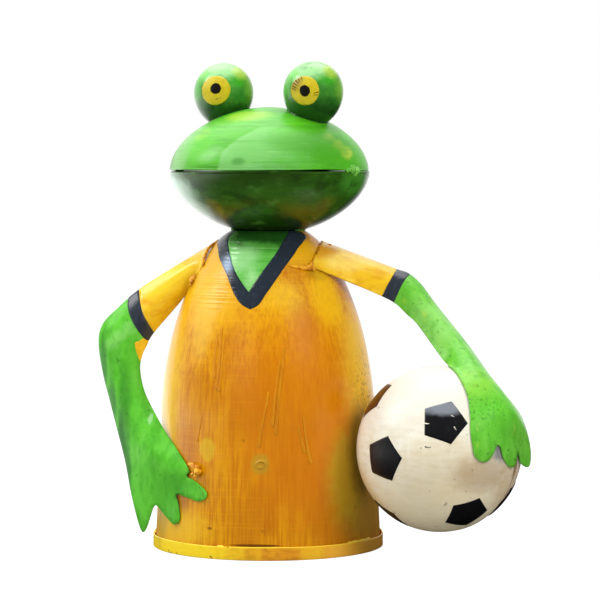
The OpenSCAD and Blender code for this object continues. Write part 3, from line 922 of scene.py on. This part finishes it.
def build_drips():
    parts = []
    for top_az, top, foot_az, foot, half in DRIPS:
        (x0, z0), (x1, z1) = bell_point(top_az, top), bell_point(foot_az, foot)
        left, right = [], []
        for t in np.linspace(0, 1, 40):
            x = x0 + (x1 - x0) * t + 0.5 * math.sin(3.2 * t + top) * t
            z = z0 + (z1 - z0) * t
            wide = half * (0.25 + 0.75 * t ** 0.6 + 0.3 * math.exp(-((t - 0.94) / 0.05) ** 2))
            wide *= math.sqrt(max(0.02, 1 - max(0, (t - 0.95) / 0.05) ** 2))
            left.append((x - wide, z))
            right.append((x + wide, z))
        parts.append(plate(left + right[::-1], on_bell, 0.26, SUNK, 0.35, 0.2))
    make("paint_runs", *joined(parts), "body_paint", RUNS)


def build_tack_mark():
    """An old spot weld on the shirt front: a little crater with a raised rim."""
    centre = np.array(bell_point(12.2, 44.4))
    steps, rings, reach = 40, 14, 2.6
    points, faces = [], []
    for i in range(rings + 1):
        d = reach * i / rings
        height = 0.5 * math.exp(-((d - 1.5) / 0.45) ** 2) - 0.12 * math.exp(-(d / 0.7) ** 2)
        height -= 0.06 * (d > 2.3)
        for k in range(steps):
            a = 2 * math.pi * k / steps
            lump = height * (1 + 0.35 * math.sin(a + 0.6) + 0.2 * math.sin(3 * a))
            at = centre + np.array([d * math.cos(a) * 1.02, d * math.sin(a)]) * (1 + 0.06 * math.sin(2 * a))
            points.append(on_bell(at[None, :], 0.06 + lump)[0])
    for i in range(rings):
        for k in range(steps):
            a, b = i * steps + k, i * steps + (k + 1) % steps
            faces.append((a, b, b + steps, a + steps))
    base = len(points)
    for k in range(steps):
        a = 2 * math.pi * k / steps
        at = centre + reach * np.array([math.cos(a), math.sin(a)])
        points.append(on_bell(at[None, :], -0.4)[0])
    for k in range(steps):
        a, b = rings * steps + k, rings * steps + (k + 1) % steps
        faces.append((a, b, base + (k + 1) % steps, base + k))
    faces.append(tuple(range(base, base + steps))[::-1])
    make("tack_mark", points, flipped(faces), "body_paint", SHIRT)


# --- Head and eyes ---------------------------------------------------------------------------

CROWN_LOW, CROWN_HIGH = box_mm("head_upper_bowl")
JAW_LOW, JAW_HIGH = box_mm("head_lower_bowl")
HEAD_R = (JAW_HIGH[0] - JAW_LOW[0]) / 2
MOUTH_Z = (CROWN_LOW[2] + JAW_HIGH[2]) / 2
CROWN_C = np.array([*box_middle("head_upper_bowl")[:2], MOUTH_Z])
JAW_C = np.array([*box_middle("head_lower_bowl")[:2], MOUTH_Z])
CROWN_POWER, JAW_POWER = 1.85, 1.8
LIP_GAP = 0.3          # between the mouth's height and each rim
CROWN_RISE = CROWN_HIGH[2] - MOUTH_Z
JAW_DROP = MOUTH_Z - JAW_LOW[2]


def bowl_side(r, h, power, steps=72):
    """Half a bowl's outline, [radius, height], from its rim to its pole."""
    out = []
    for a in np.linspace(0, math.pi / 2, steps + 1)[:-1]:
        out.append((r * math.cos(a) ** (2 / power), h * math.sin(a) ** (2 / power)))
    return out + [(0, h)]


def bowl(r, h, power, lip_r=0.55):
    """Outline of a bowl of even sheet with a turned rim, from its pole and back to its pole."""
    outer = bowl_side(r, h, power)[::-1]
    inner = bowl_side(r - SHEET, h - SHEET, power)
    lip = []
    for a in np.linspace(0.9, -2.2, 12):
        lip.append((r - lip_r + 0.1 + lip_r * math.cos(a), 0.35 + lip_r * math.sin(a)))
    return [p for p in outer if p[1] > 1.0] + lip + [p for p in inner if p[1] > 0.8]


def rim_wave(points, up):
    """The two rims meet in front and stand apart at the sides, so the slit is dark there only."""
    for p in points:
        azimuth = math.degrees(math.atan2(p[0], -p[1]))
        near = max(0.0, 1 - abs(p[2]) / 6)
        right = 0.64 * math.exp(-((azimuth + 52) / 30) ** 2)
        left = 0.62 * math.exp(-((azimuth - 46) / 22) ** 2)
        apart = right + left - 0.14
        wave = 0.10 * math.sin(math.radians(azimuth) * 3 + 1) + 0.06 * math.sin(math.radians(azimuth) * 8)
        p[2] += near * (apart + wave if up else apart * 0.6)
    return points


def build_head():
    points, faces = cup(bowl(HEAD_R, CROWN_RISE - LIP_GAP, CROWN_POWER), 256)
    points[:, 2] += LIP_GAP
    points = rim_wave(points, True) + CROWN_C
    make("crown", points, flipped(faces), "frog_green", CROWN, ["head_upper_bowl"])
    points, faces = cup(bowl(HEAD_R, JAW_DROP - LIP_GAP, JAW_POWER), 256)
    points[:, 2] += LIP_GAP
    points = rim_wave(points, False) * (1, 1, -1) + JAW_C
    make("jaw", points, faces, "jaw_green", JAW, ["head_lower_bowl"])
    r = HEAD_R
    side = [(*(CROWN_C + around(a, r - k, z)), b) for a, k, z, b in
            [(67, 0.5, 0.3, 1.3), (71, 0.9, 0.6, 2.4), (74, 1.1, -0.3, 2.5), (76.5, 0.9, 0.3, 2.0)]]
    weld("mouth_weld_l", side, "weld_metal", GREEN_WELD, replaces=["mouth_weld_left"])
    side = [(*(CROWN_C + around(a, r - 0.6, z)), b) for a, z, b in
            [(-96, 0.1, 1.4), (-93, -0.5, 1.1), (-99, 0, 1.0)]]
    weld("mouth_weld_r", side, "weld_metal", GREEN_WELD, replaces=["mouth_weld_right"])
    ring = []
    for a in range(60, 301, 6):
        seam = 17.0 + 0.4 * math.sin(a * 0.9)
        height = NECK_Z + 0.35 + 0.25 * math.sin(a * 1.7)
        ring.append(around(a, seam, height) + (0.75 + 0.25 * math.sin(a),))
    weld("neck_weld", ring, "frog_green", GREEN_WELD, 0.3, ["neck_welds"])


class Eye:
    """An eye's ball of two cups; side is -1 for the frog's right eye and +1 for its left.
    iris and pupil are [sideways, up, radius]; phase changes how their edges waver."""

    def __init__(self, side, iris, pupil, phase):
        self.word = {-1: "right", 1: "left"}[side]
        low, high = box_mm(f"{self.word}_eye_upper_cup")
        self.r, self.up = (high[0] - low[0]) / 2, high[2] - low[2]
        self.down = low[2] - box_mm(f"{self.word}_eye_lower_cup")[0][2]
        self.c = np.array([*((low + high) / 2)[:2], low[2]])
        self.iris, self.pupil, self.phase = iris, pupil, phase

    def place(self, points, height):
        """Points given as seen from the front, [sideways, up] in millimetres."""
        x, z = points[:, 0], points[:, 1]
        h = np.where(z > 0, self.up, self.down)
        y = -self.r * np.sqrt(np.maximum(0.02, 1 - (x / self.r) ** 2 - (z / h) ** 2))
        normal = np.c_[x / self.r ** 2, y / self.r ** 2, z / h ** 2]
        normal /= np.linalg.norm(normal, axis=1)[:, None]
        return np.c_[x, y, z] + normal * height + self.c

    def build(self):
        paint = eye_paint(f"{self.word}_eye_paint", *self.c)
        side = [(self.r * math.cos(a), (self.up if a > 0 else self.down) * math.sin(a))
                for a in np.linspace(math.pi / 2, -math.pi / 2, 97)]
        side[0], side[-1] = (0, self.up), (0, -self.down)
        points, faces = cup(side, 160)
        cups = [f"{self.word}_eye_upper_cup", f"{self.word}_eye_lower_cup"]
        points = points + self.c
        make(f"{self.word}_eye_ball", points, flipped(faces), "eye_green", paint, cups)
        (ix, iz, ir), (px, pz, pr) = self.iris, self.pupil
        iris = plate(blot(ir, 0.018, self.phase, (ix, iz)), self.place, PAINT, SUNK, 0.6)
        make(f"{self.word}_iris", *iris, "iris_yellow", IRIS)
        pupil = plate(blot(pr, 0.035, self.phase + 1, (px, pz), 1.05), self.place, PAINT * 2, -0.1, 0.4)
        make(f"{self.word}_pupil", *pupil, "pupil_black", BLACK)
        self.build_seat(paint)

    def build_seat(self, paint):
        """The fillet of weld around the ball where it sits in the crown."""
        beads = []
        for k in range(64):
            a = 2 * math.pi * k / 64
            beads.append(self.on_crown(a) + (0.62 + 0.12 * math.sin(5 * a),))
        weld(f"{self.word}_eye_seat", beads, "eye_green", paint, 0.3, [f"{self.word}_eye_weld"])

    def on_crown(self, a):
        """Where the ball meets the crown in the direction a: a search down the ball's side."""
        for t in np.linspace(-0.25, -math.pi / 2, 400):
            x = self.c[0] + self.r * math.cos(t) * math.cos(a)
            y = self.c[1] + self.r * math.cos(t) * math.sin(a)
            z = self.c[2] + self.down * math.sin(t)
            away = math.hypot(x - CROWN_C[0], y - CROWN_C[1]) / HEAD_R
            rise = CROWN_RISE * max(0.0, 1 - away ** CROWN_POWER) ** (1 / CROWN_POWER)
            if z - MOUTH_Z < rise + 0.1:
                return (x, y, z)
        return (self.c[0], self.c[1], self.c[2] - self.down)


def build_eyes():
    right = Eye(-1, (0.0, 0.7, 7.0), (0.3, 1.6, 2.5), 0.6)
    left = Eye(1, (-0.6, 0.0, 6.9), (-0.3, -0.1, 2.5), 2.4)
    right.build()
    left.build()
    marks = [((0.2, -3.6), (1.8, -3.1), 0.35), ((2.4, -2.9), (3.0, -2.7), 0.3)]
    build_scratches(right, marks, "right_eye_scratch")
    lashes = [((-6.6, 2.4), (-4.4, 1.0), 0.5), ((-6.2, 3.6), (-3.9, 2.3), 0.45),
              ((-5.3, 4.8), (-3.3, 3.1), 0.5), ((-3.9, 5.6), (-2.7, 3.7), 0.4),
              ((-2.3, 6.2), (-1.6, 4.4), 0.35), ((-6.9, 1.2), (-4.6, 0.2), 0.35),
              ((6.2, -0.6), (3.6, -1.4), 0.4), ((5.6, -2.0), (4.0, -2.2), 0.3)]
    build_scratches(left, lashes, "left_eye_scratch")


# --- Arms and sleeves ------------------------------------------------------------------------

RIGHT = Arm(RIGHT_RIBS, RIGHT_PALM, RIGHT_REACH, -1)
LEFT = Arm(LEFT_RIBS, LEFT_PALM, LEFT_REACH, 1)

# Outlines of the hands, from the little finger's side round to the thumb's, as
# [share of the width, ribs along]
RIGHT_HAND = curve([(0, 9.0), (0.02, 10.0), (0.05, 10.55), (0.085, 10.8), (0.125, 10.8), (0.19, 10.59),
                    (0.29, 10.17), (0.34, 10.03), (0.385, 10.03), (0.47, 10.41), (0.52, 10.64),
                    (0.565, 10.68), (0.605, 10.6), (0.635, 10.25), (0.64, 10.04), (0.69, 10.04),
                    (0.8, 10.36), (0.87, 10.68), (0.925, 10.83), (0.98, 10.79), (1.03, 10.58),
                    (1.035, 10.37), (1.01, 10.14), (0.965, 9.93), (0.915, 9.72), (0.92, 9.5),
                    (0.985, 9.3), (1, 9.0)], 4)
LEFT_HAND = curve([(0, 11.0), (0, 12.0), (0.02, 12.4), (0.07, 12.63), (0.14, 12.7), (0.22, 12.6),
                   (0.32, 12.38), (0.385, 12.08), (0.415, 12.08), (0.425, 12.34), (0.43, 12.6),
                   (0.465, 12.71), (0.53, 12.6), (0.595, 12.36), (0.635, 12.06), (0.68, 12.04),
                   (0.7, 12.2), (0.73, 12.44), (0.765, 12.62), (0.815, 12.7), (0.87, 12.67),
                   (0.925, 12.55), (0.985, 12.3), (1.05, 11.9), (1.04, 11.4), (1, 11.0)], 4)


def arm_outline(hand, ribs):
    """The whole outline of an arm's sheet."""
    down = [(0, t) for t in np.arange(0, ribs, 0.25)]
    back = [(1, t) for t in np.arange(ribs - 0.25, -0.01, -0.25)]
    return down + hand + back


def wrap(arm, shoulder_side, hand_side):
    """A painted band right round an arm's sheet, between two lines across it."""
    over = 0.006
    line = [(over * (2 * s - 1) + s, t) for s, t in shoulder_side + hand_side[::-1]]
    outline = arm.drawn(line)
    return plate(outline, arm.place, PAINT, -SHEET - PAINT, 1.1, 0.12)


def build_arms():
    for word, arm, hand, ribs, paint in (("right", RIGHT, RIGHT_HAND, 9.0, RIGHT_ARM),
                                         ("left", LEFT, LEFT_HAND, 11.0, LEFT_ARM)):
        outline = arm.drawn(arm_outline(hand, ribs))
        sheet = plate(outline, arm.place, 0.0, -SHEET, ARM_STEP, 0.1)
        make(f"{word}_arm_sheet", *sheet, "arm_green", paint, [f"{word}_arm"])
    edge = curve([(0, 1.97), (0.5, 2.1), (1, 2.0)], 10)
    far = curve([(0, 2.42), (0.2, 2.64), (0.43, 2.78), (0.85, 2.83), (1, 2.45)], 6)
    start = [(s, 0.0) for s in np.linspace(0, 1, 12)]
    make("right_sleeve", *wrap(RIGHT, start, edge), "sleeve_yellow", SLEEVE)
    make("right_cuff", *wrap(RIGHT, edge, far), "cuff_blue", CUFF)
    crook = [(1, 2.45), (0.85, 2.83), (0.81, 3.25), (0.765, 3.5), (0.81, 3.8), (0.93, 4.35), (1, 4.5)]
    crook = RIGHT.drawn(curve(crook, 5))
    make("crook_patch", *plate(crook, RIGHT.place, PAINT * 0.8, SUNK, 0.8), "sleeve_yellow", SLEEVE)
    edge = curve([(0, 2.08), (0.43, 2.12), (1, 2.06)], 10)
    far = curve([(0, 3.1), (0.5, 3.04), (1, 2.9)], 10)
    make("left_sleeve", *wrap(LEFT, start, edge), "sleeve_yellow", SLEEVE)
    make("left_cuff", *wrap(LEFT, edge, far), "cuff_blue", CUFF)


def stroke(start, end, width):
    """A short painted line, thin at its end."""
    (x0, y0), (x1, y1) = start, end
    length = math.hypot(x1 - x0, y1 - y0)
    nx, ny = -(y1 - y0) / length * width / 2, (x1 - x0) / length * width / 2
    return [(x0 + nx, y0 + ny), (x0 - nx, y0 - ny), (x1 - nx / 3, y1 - ny / 3), (x1 + nx / 3, y1 + ny / 3)]


def build_scratches(eye, strokes, name):
    """Thin black strokes on an eye, each as [start, end, width]."""
    parts = [plate(stroke(*line), eye.place, PAINT * 1.7, -0.1, 0.3, 0.03) for line in strokes]
    make(name, *joined(parts), "pupil_black", BLACK)


def end_seam(arm, radius):
    """A run of weld along the end of an arm's sheet, where it meets the body."""
    along = arm.drawn([(share, 0.03) for share in np.linspace(0.01, 0.99, 44)])
    line = arm.place(np.array(along), -SHEET / 2)
    return [(*p, radius * (1 + 0.15 * math.sin(1.9 * k))) for k, p in enumerate(line)]


def build_arm_welds():
    """The beads that hold the right hand to the hip and each arm to its shoulder."""
    hip = [(-22.6, -49.2, 42.8, 1.3), (-20.6, -50.3, 41.6, 1.6), (-19.6, -50.9, 40.2, 1.7),
           (-20.4, -50.2, 38.6, 1.2), (-21.8, -49.2, 40.6, 1.2), (-24, -48.6, 43.4, 1.0),
           (-22.6, -49, 38.6, 0.9)]
    weld("hip_weld_bead", hip, "weld_metal", ORANGE_WELD, replaces=["hip_weld"])
    nugget = [(-32.2, -18.5, 127.6, 1.75), (-31.6, -18.4, 129, 1.2), (-33, -18.6, 125.6, 0.8)]
    weld("right_shoulder_bead", end_seam(RIGHT, 0.62) + nugget, "body_paint", SEAM,
         replaces=["right_shoulder_weld"])
    seam = end_seam(LEFT, 0.6) + [(26.7, -20.0, 136.2, 1.1), (29.6, 3.2, 144, 1.0)]
    weld("left_shoulder_bead", seam, "body_paint", SEAM, replaces=["left_shoulder_weld"])


def build_spur():
    """The pointed run of metal at the left sleeve's lower corner."""
    tip, root = np.array([18.0, -27.6, 135.5]), np.array([27.4, -21.2, 134.5])
    beads = []
    for t in np.linspace(0, 1, 14):
        p = tip + (root - tip) * t + np.array([0, 0, -0.35 * math.sin(math.pi * t)])
        beads.append((*p, 0.35 + 1.15 * t ** 0.8))
    weld("spur", beads, "body_paint", ORANGE_WELD, 0.2, ["shoulder_spur"])


# --- Ball ------------------------------------------------------------------------------------

# Each black patch of the ball, as [azimuth, elevation, turn], in degrees
BALL_PATCHES = [(15.6, 24.8, 20), (-29.8, -2.4, 13), (40.6, -45.7, 15), (-69, 38.8, 33), (-64, -52, 10),
                (98, -38, 25), (84, 22, 40), (150, 2, 5), (-118, -10, 20), (-150, 44, 12), (115, 62, 30),
                (-170, -46, 0)]
PATCH_R = 10.9
BALL_STEP = 0.28       # how much smaller the rear half is


def ball_way(azimuth, elevation):
    """The direction from the ball's middle to a place on it."""
    a, e = math.radians(azimuth), math.radians(elevation)
    return np.array([math.sin(a) * math.cos(e), -math.cos(a) * math.cos(e), math.sin(e)])


def on_ball(azimuth, elevation, turn):
    """A surface around one place on the ball; points are distances along it from there."""
    middle = ball_way(azimuth, elevation)
    north = ball_way(azimuth, elevation + 90)
    east = np.cross(north, middle)
    a = math.radians(turn)
    up, aside = north * math.cos(a) + east * math.sin(a), east * math.cos(a) - north * math.sin(a)

    def place(points, height):
        d = np.hypot(points[:, 0], points[:, 1])
        angle = d / BALL_R
        safe = np.maximum(d, 1e-9)
        way = aside * (points[:, 0] / safe)[:, None] + up * (points[:, 1] / safe)[:, None]
        out = middle * np.cos(angle)[:, None] + way * np.sin(angle)[:, None]
        return BALL_C + out * (BALL_R + height)
    return place


def facing(points, way):
    """Points moved to the ball's middle and turned so that their Z axis lies along a level way."""
    up = np.array([0, 0, 1.0])
    return BALL_C + points[:, :1] * np.cross(way, up) + points[:, 1:2] * up + points[:, 2:] * way


def build_ball():
    """Two pressed halves; the rear one is a hair smaller, so the seam shows as a step."""
    quarter = np.linspace(0, math.pi / 2 - 0.004, 80)
    a = math.radians(BALL_TURN)
    front = np.array([math.sin(a), -math.cos(a), 0])
    for word, r, way, paint in (("front", BALL_R, front, BALL),
                                ("rear", BALL_R - BALL_STEP, -front, BALL_REAR)):
        outer = [(r * math.sin(t), r * math.cos(t)) for t in quarter]
        inner = [((r - SHEET) * math.sin(t), (r - SHEET) * math.cos(t)) for t in quarter[::-1]]
        roll = [(outer[-1][0] - 0.12, outer[-1][1] - 0.1), (inner[0][0] + 0.12, inner[0][1] - 0.1)]
        points, faces = cup(outer + roll + inner, 224)
        node = f"ball_{word}_half"
        make(f"ball_{word}", facing(points, way), flipped(faces), "ball_cream", paint, [node])
    ridge = [(0, -0.22), (0.52, -0.22), (0.56, 0), (0.52, 0.24), (0, 0.24)]
    line = [(BALL_R - 0.5 + x, y) for x, y in ridge]
    points, faces = turned(line, 224)
    make("ball_seam", facing(points, -front), faces, "ball_cream", BALL_SEAM)
    pentagon = [(PATCH_R * math.sin(a), PATCH_R * math.cos(a)) for a in np.radians(range(288, -1, -72))]
    parts = []
    for azimuth, elevation, turn in BALL_PATCHES:
        place = on_ball(azimuth, elevation, turn)
        parts.append(plate(rounded(pentagon, 0.012, 1), place, PAINT, -0.3, 0.9))
    make("ball_patches", *joined(parts), "patch_black", PATCH)
    chips = [(15.6, 24.8, (-9.4, -0.6), (-6.8, -0.9), 0.8), (15.6, 24.8, (4.4, -2.4), (5.4, -4.0), 0.45),
             (15.6, 24.8, (3.2, 3.0), (4.6, 2.3), 0.4)]
    parts = [plate(stroke(*line), on_ball(a, e, 0), PAINT * 2, SUNK, 0.3, 0.03) for a, e, *line in chips]
    make("ball_chips", *joined(parts), "ball_cream", BALL)
    specks = [((-1.1, 0.3), (1.0, -0.2), 0.6), ((1.0, -0.2), (1.5, 0.4), 0.4),
              ((-3.2, -0.4), (-2.6, -0.2), 0.4)]
    parts = [plate(stroke(*line), on_ball(4, 7, 0), PAINT, SUNK, 0.3, 0.03) for line in specks]
    make("ball_speck", *joined(parts), "patch_black", BLACK)


def build_ball_welds():
    weld("ball_side_bead", [(50.5, -12.2, 53.4, 1.5), (50.9, -11.2, 49.2, 1.8), (50.6, -11.8, 51.3, 1.4)],
         "weld_metal", CREAM_WELD, replaces=["ball_side_weld"])
    weld("ball_hand_bead", [(124.0, -32.4, 58.5, 1.0), (123.2, -33.4, 57.6, 0.7)], "arm_green", LEFT_ARM,
         replaces=["ball_hand_weld"])


def build_hoop_welds():
    """Five tacks along the hoop's upper edge, and a longer run."""
    beads = []
    for a in [-72, -8, 112, 172, 232]:
        beads += [around(a + k, FOOT_R + 0.15, HOOP_HIGH[2] - 0.35) + (0.6,) for k in (-1, 0, 1)]
    for a in np.arange(60, 78, 1.0):
        beads.append(around(a, FOOT_R + 0.2, HOOP_HIGH[2] - 0.25) + (0.62 + 0.12 * math.sin(a),))
    weld("hoop_weld_beads", beads, "hoop_paint", HOOP, 0.28, ["hoop_welds"])


# --- Stage -----------------------------------------------------------------------------------

CAMERA_TURN = math.radians(16)       # azimuth of the viewpoint
CAMERA_AWAY = 1233.6
CAMERA_UP = 179.76
CAMERA_LENS = 154.2
CAMERA_DIP = math.radians(2.874)     # how far it looks down
CAMERA_ASIDE = math.radians(0.713)   # how far it looks past the body's axis
BRIGHT_WAY = (-0.58, 0.81, 0.0)      # the backdrop is brightest on this side
FLOOR_BRIGHT_WAY = (-0.93, 0.37, 0.0)    # and the floor on this one
# Where the brightness starts and stops growing along that way, and its strength there
LIGHT_GROWS = (-0.3, 0.6, 0.16, 1.1)
MIRRORED_GROWS = (0.1, 0.9, 0.05, 1.25)
FLOOR_GROWS = (0.12, 0.42, 0.0, 2.2)
FLOOR_REACH = 3000.0
FLOOR_GREY = (0.36, 0.36, 0.36, 1)   # in the light that the floor throws back
FLOOR_MATT = (0.8, 0.8, 0.8, 1)      # under the shadow that the camera sees
FLOOR_GLOW, GLOW_SHARE = 1.15, 0.82  # the white over it, and its share of the floor


def build_camera():
    data = bpy.data.cameras.new("camera")
    camera = added("camera", data)
    data.lens = CAMERA_LENS
    data.sensor_width = 36
    data.clip_start, data.clip_end = 0.05, 30
    x, y = CAMERA_AWAY * math.sin(CAMERA_TURN), -CAMERA_AWAY * math.cos(CAMERA_TURN)
    camera.location = (x * MM, y * MM, CAMERA_UP * MM)
    camera.rotation_euler = (math.pi / 2 - CAMERA_DIP, 0, CAMERA_TURN - CAMERA_ASIDE)
    bpy.context.scene.camera = camera


def only_for(tree, light_path, plain, shown):
    """Mixes two shaders: shown for the rays named by the light path, plain for the others."""
    return add_node(tree, "ShaderNodeMixShader", {0: light_path, 1: plain, 2: shown}).outputs[0]


def build_world():
    """White for the camera; the light and what the gloss mirrors grow towards the bright side."""
    world = bpy.data.worlds.new("world")
    bpy.context.scene.world = world
    world.use_nodes = True
    tree = world.node_tree
    tree.nodes.clear()
    path = add_node(tree, "ShaderNodeLightPath").outputs
    toward = along(tree, add_node(tree, "ShaderNodeTexCoord").outputs["Generated"], BRIGHT_WAY)

    def sky(strength):
        return add_node(tree, "ShaderNodeBackground", {"Color": WHITE, "Strength": strength}).outputs[0]

    light = sky(ramped(tree, toward, *LIGHT_GROWS))
    mirrored = sky(ramped(tree, toward, *MIRRORED_GROWS))
    shader = only_for(tree, path["Is Glossy Ray"], light, mirrored)
    shader = only_for(tree, path["Is Camera Ray"], shader, sky(1.0))
    add_node(tree, "ShaderNodeOutputWorld", {"Surface": shader})


def build_floor():
    """White for the camera, with the figure's shadow; grey in the light that it throws back."""
    reach = FLOOR_REACH * MM
    corners = [(-reach, -reach, 0), (reach, -reach, 0), (reach, reach, 0), (-reach, reach, 0)]
    mesh = bpy.data.meshes.new("floor")
    mesh.from_pydata(corners, [], [(0, 1, 2, 3)])
    floor = added("floor", mesh)
    material = bpy.data.materials.new("floor_white")
    material.use_nodes = True
    tree = material.node_tree
    bounce = tree.nodes["Principled BSDF"]
    bounce.inputs["Base Color"].default_value = FLOOR_GREY
    bounce.inputs["Roughness"].default_value = 0.9
    matt = add_node(tree, "ShaderNodeBsdfDiffuse", {"Color": FLOOR_MATT}).outputs[0]
    glow = add_node(tree, "ShaderNodeEmission", {"Strength": FLOOR_GLOW}).outputs[0]
    shown = add_node(tree, "ShaderNodeMixShader", {0: GLOW_SHARE, 1: matt, 2: glow}).outputs[0]
    toward = along(tree, add_node(tree, "ShaderNodeTexCoord").outputs["Object"], FLOOR_BRIGHT_WAY)
    strength = ramped(tree, toward, *FLOOR_GROWS, "LINEAR")
    far = add_node(tree, "ShaderNodeEmission", {"Strength": strength}).outputs[0]
    path = add_node(tree, "ShaderNodeLightPath").outputs
    shader = only_for(tree, path["Is Glossy Ray"], bounce.outputs[0], far)
    shader = only_for(tree, path["Is Camera Ray"], shader, shown)
    put(tree, tree.nodes["Material Output"].inputs["Surface"], shader)
    floor.data.materials.append(material)


def lamp(name, place, size, power, mirrored=False, target=(20, 0, 120)):
    """An area lamp; only a mirrored one shows as a highlight in the gloss."""
    data = bpy.data.lights.new(name, "AREA")
    data.shape = "RECTANGLE"
    data.size, data.size_y = size[0] * MM, size[1] * MM
    data.energy = power
    light = added(name, data)
    at, to = np.array(place) * MM, np.array(target) * MM
    light.visible_glossy = mirrored
    light.location = at
    light.rotation_euler = Vector(to - at).to_track_quat("-Z", "Y").to_euler()


def build_lights():
    lamp("top_light", (0, -60, 1000), (1400, 1200), 8.0)
    lamp("left_light", (-720, -260, 770), (200, 440), 3.6, True)
    lamp("right_light", (760, -460, 560), (400, 400), 5.0)
    lamp("front_light", (-250, -1050, 460), (500, 500), 4.4)
    lamp("sky_light", (-100, 300, 900), (900, 500), 3.0, True)


for build in (build_body, build_collar, build_tack_mark, build_drips, build_hoop_welds, build_head,
              build_eyes, build_arms, build_arm_welds, build_spur, build_ball, build_ball_welds,
              build_camera, build_world, build_floor, build_lights):
    build()
bpy.context.scene.view_settings.view_transform = "Standard"
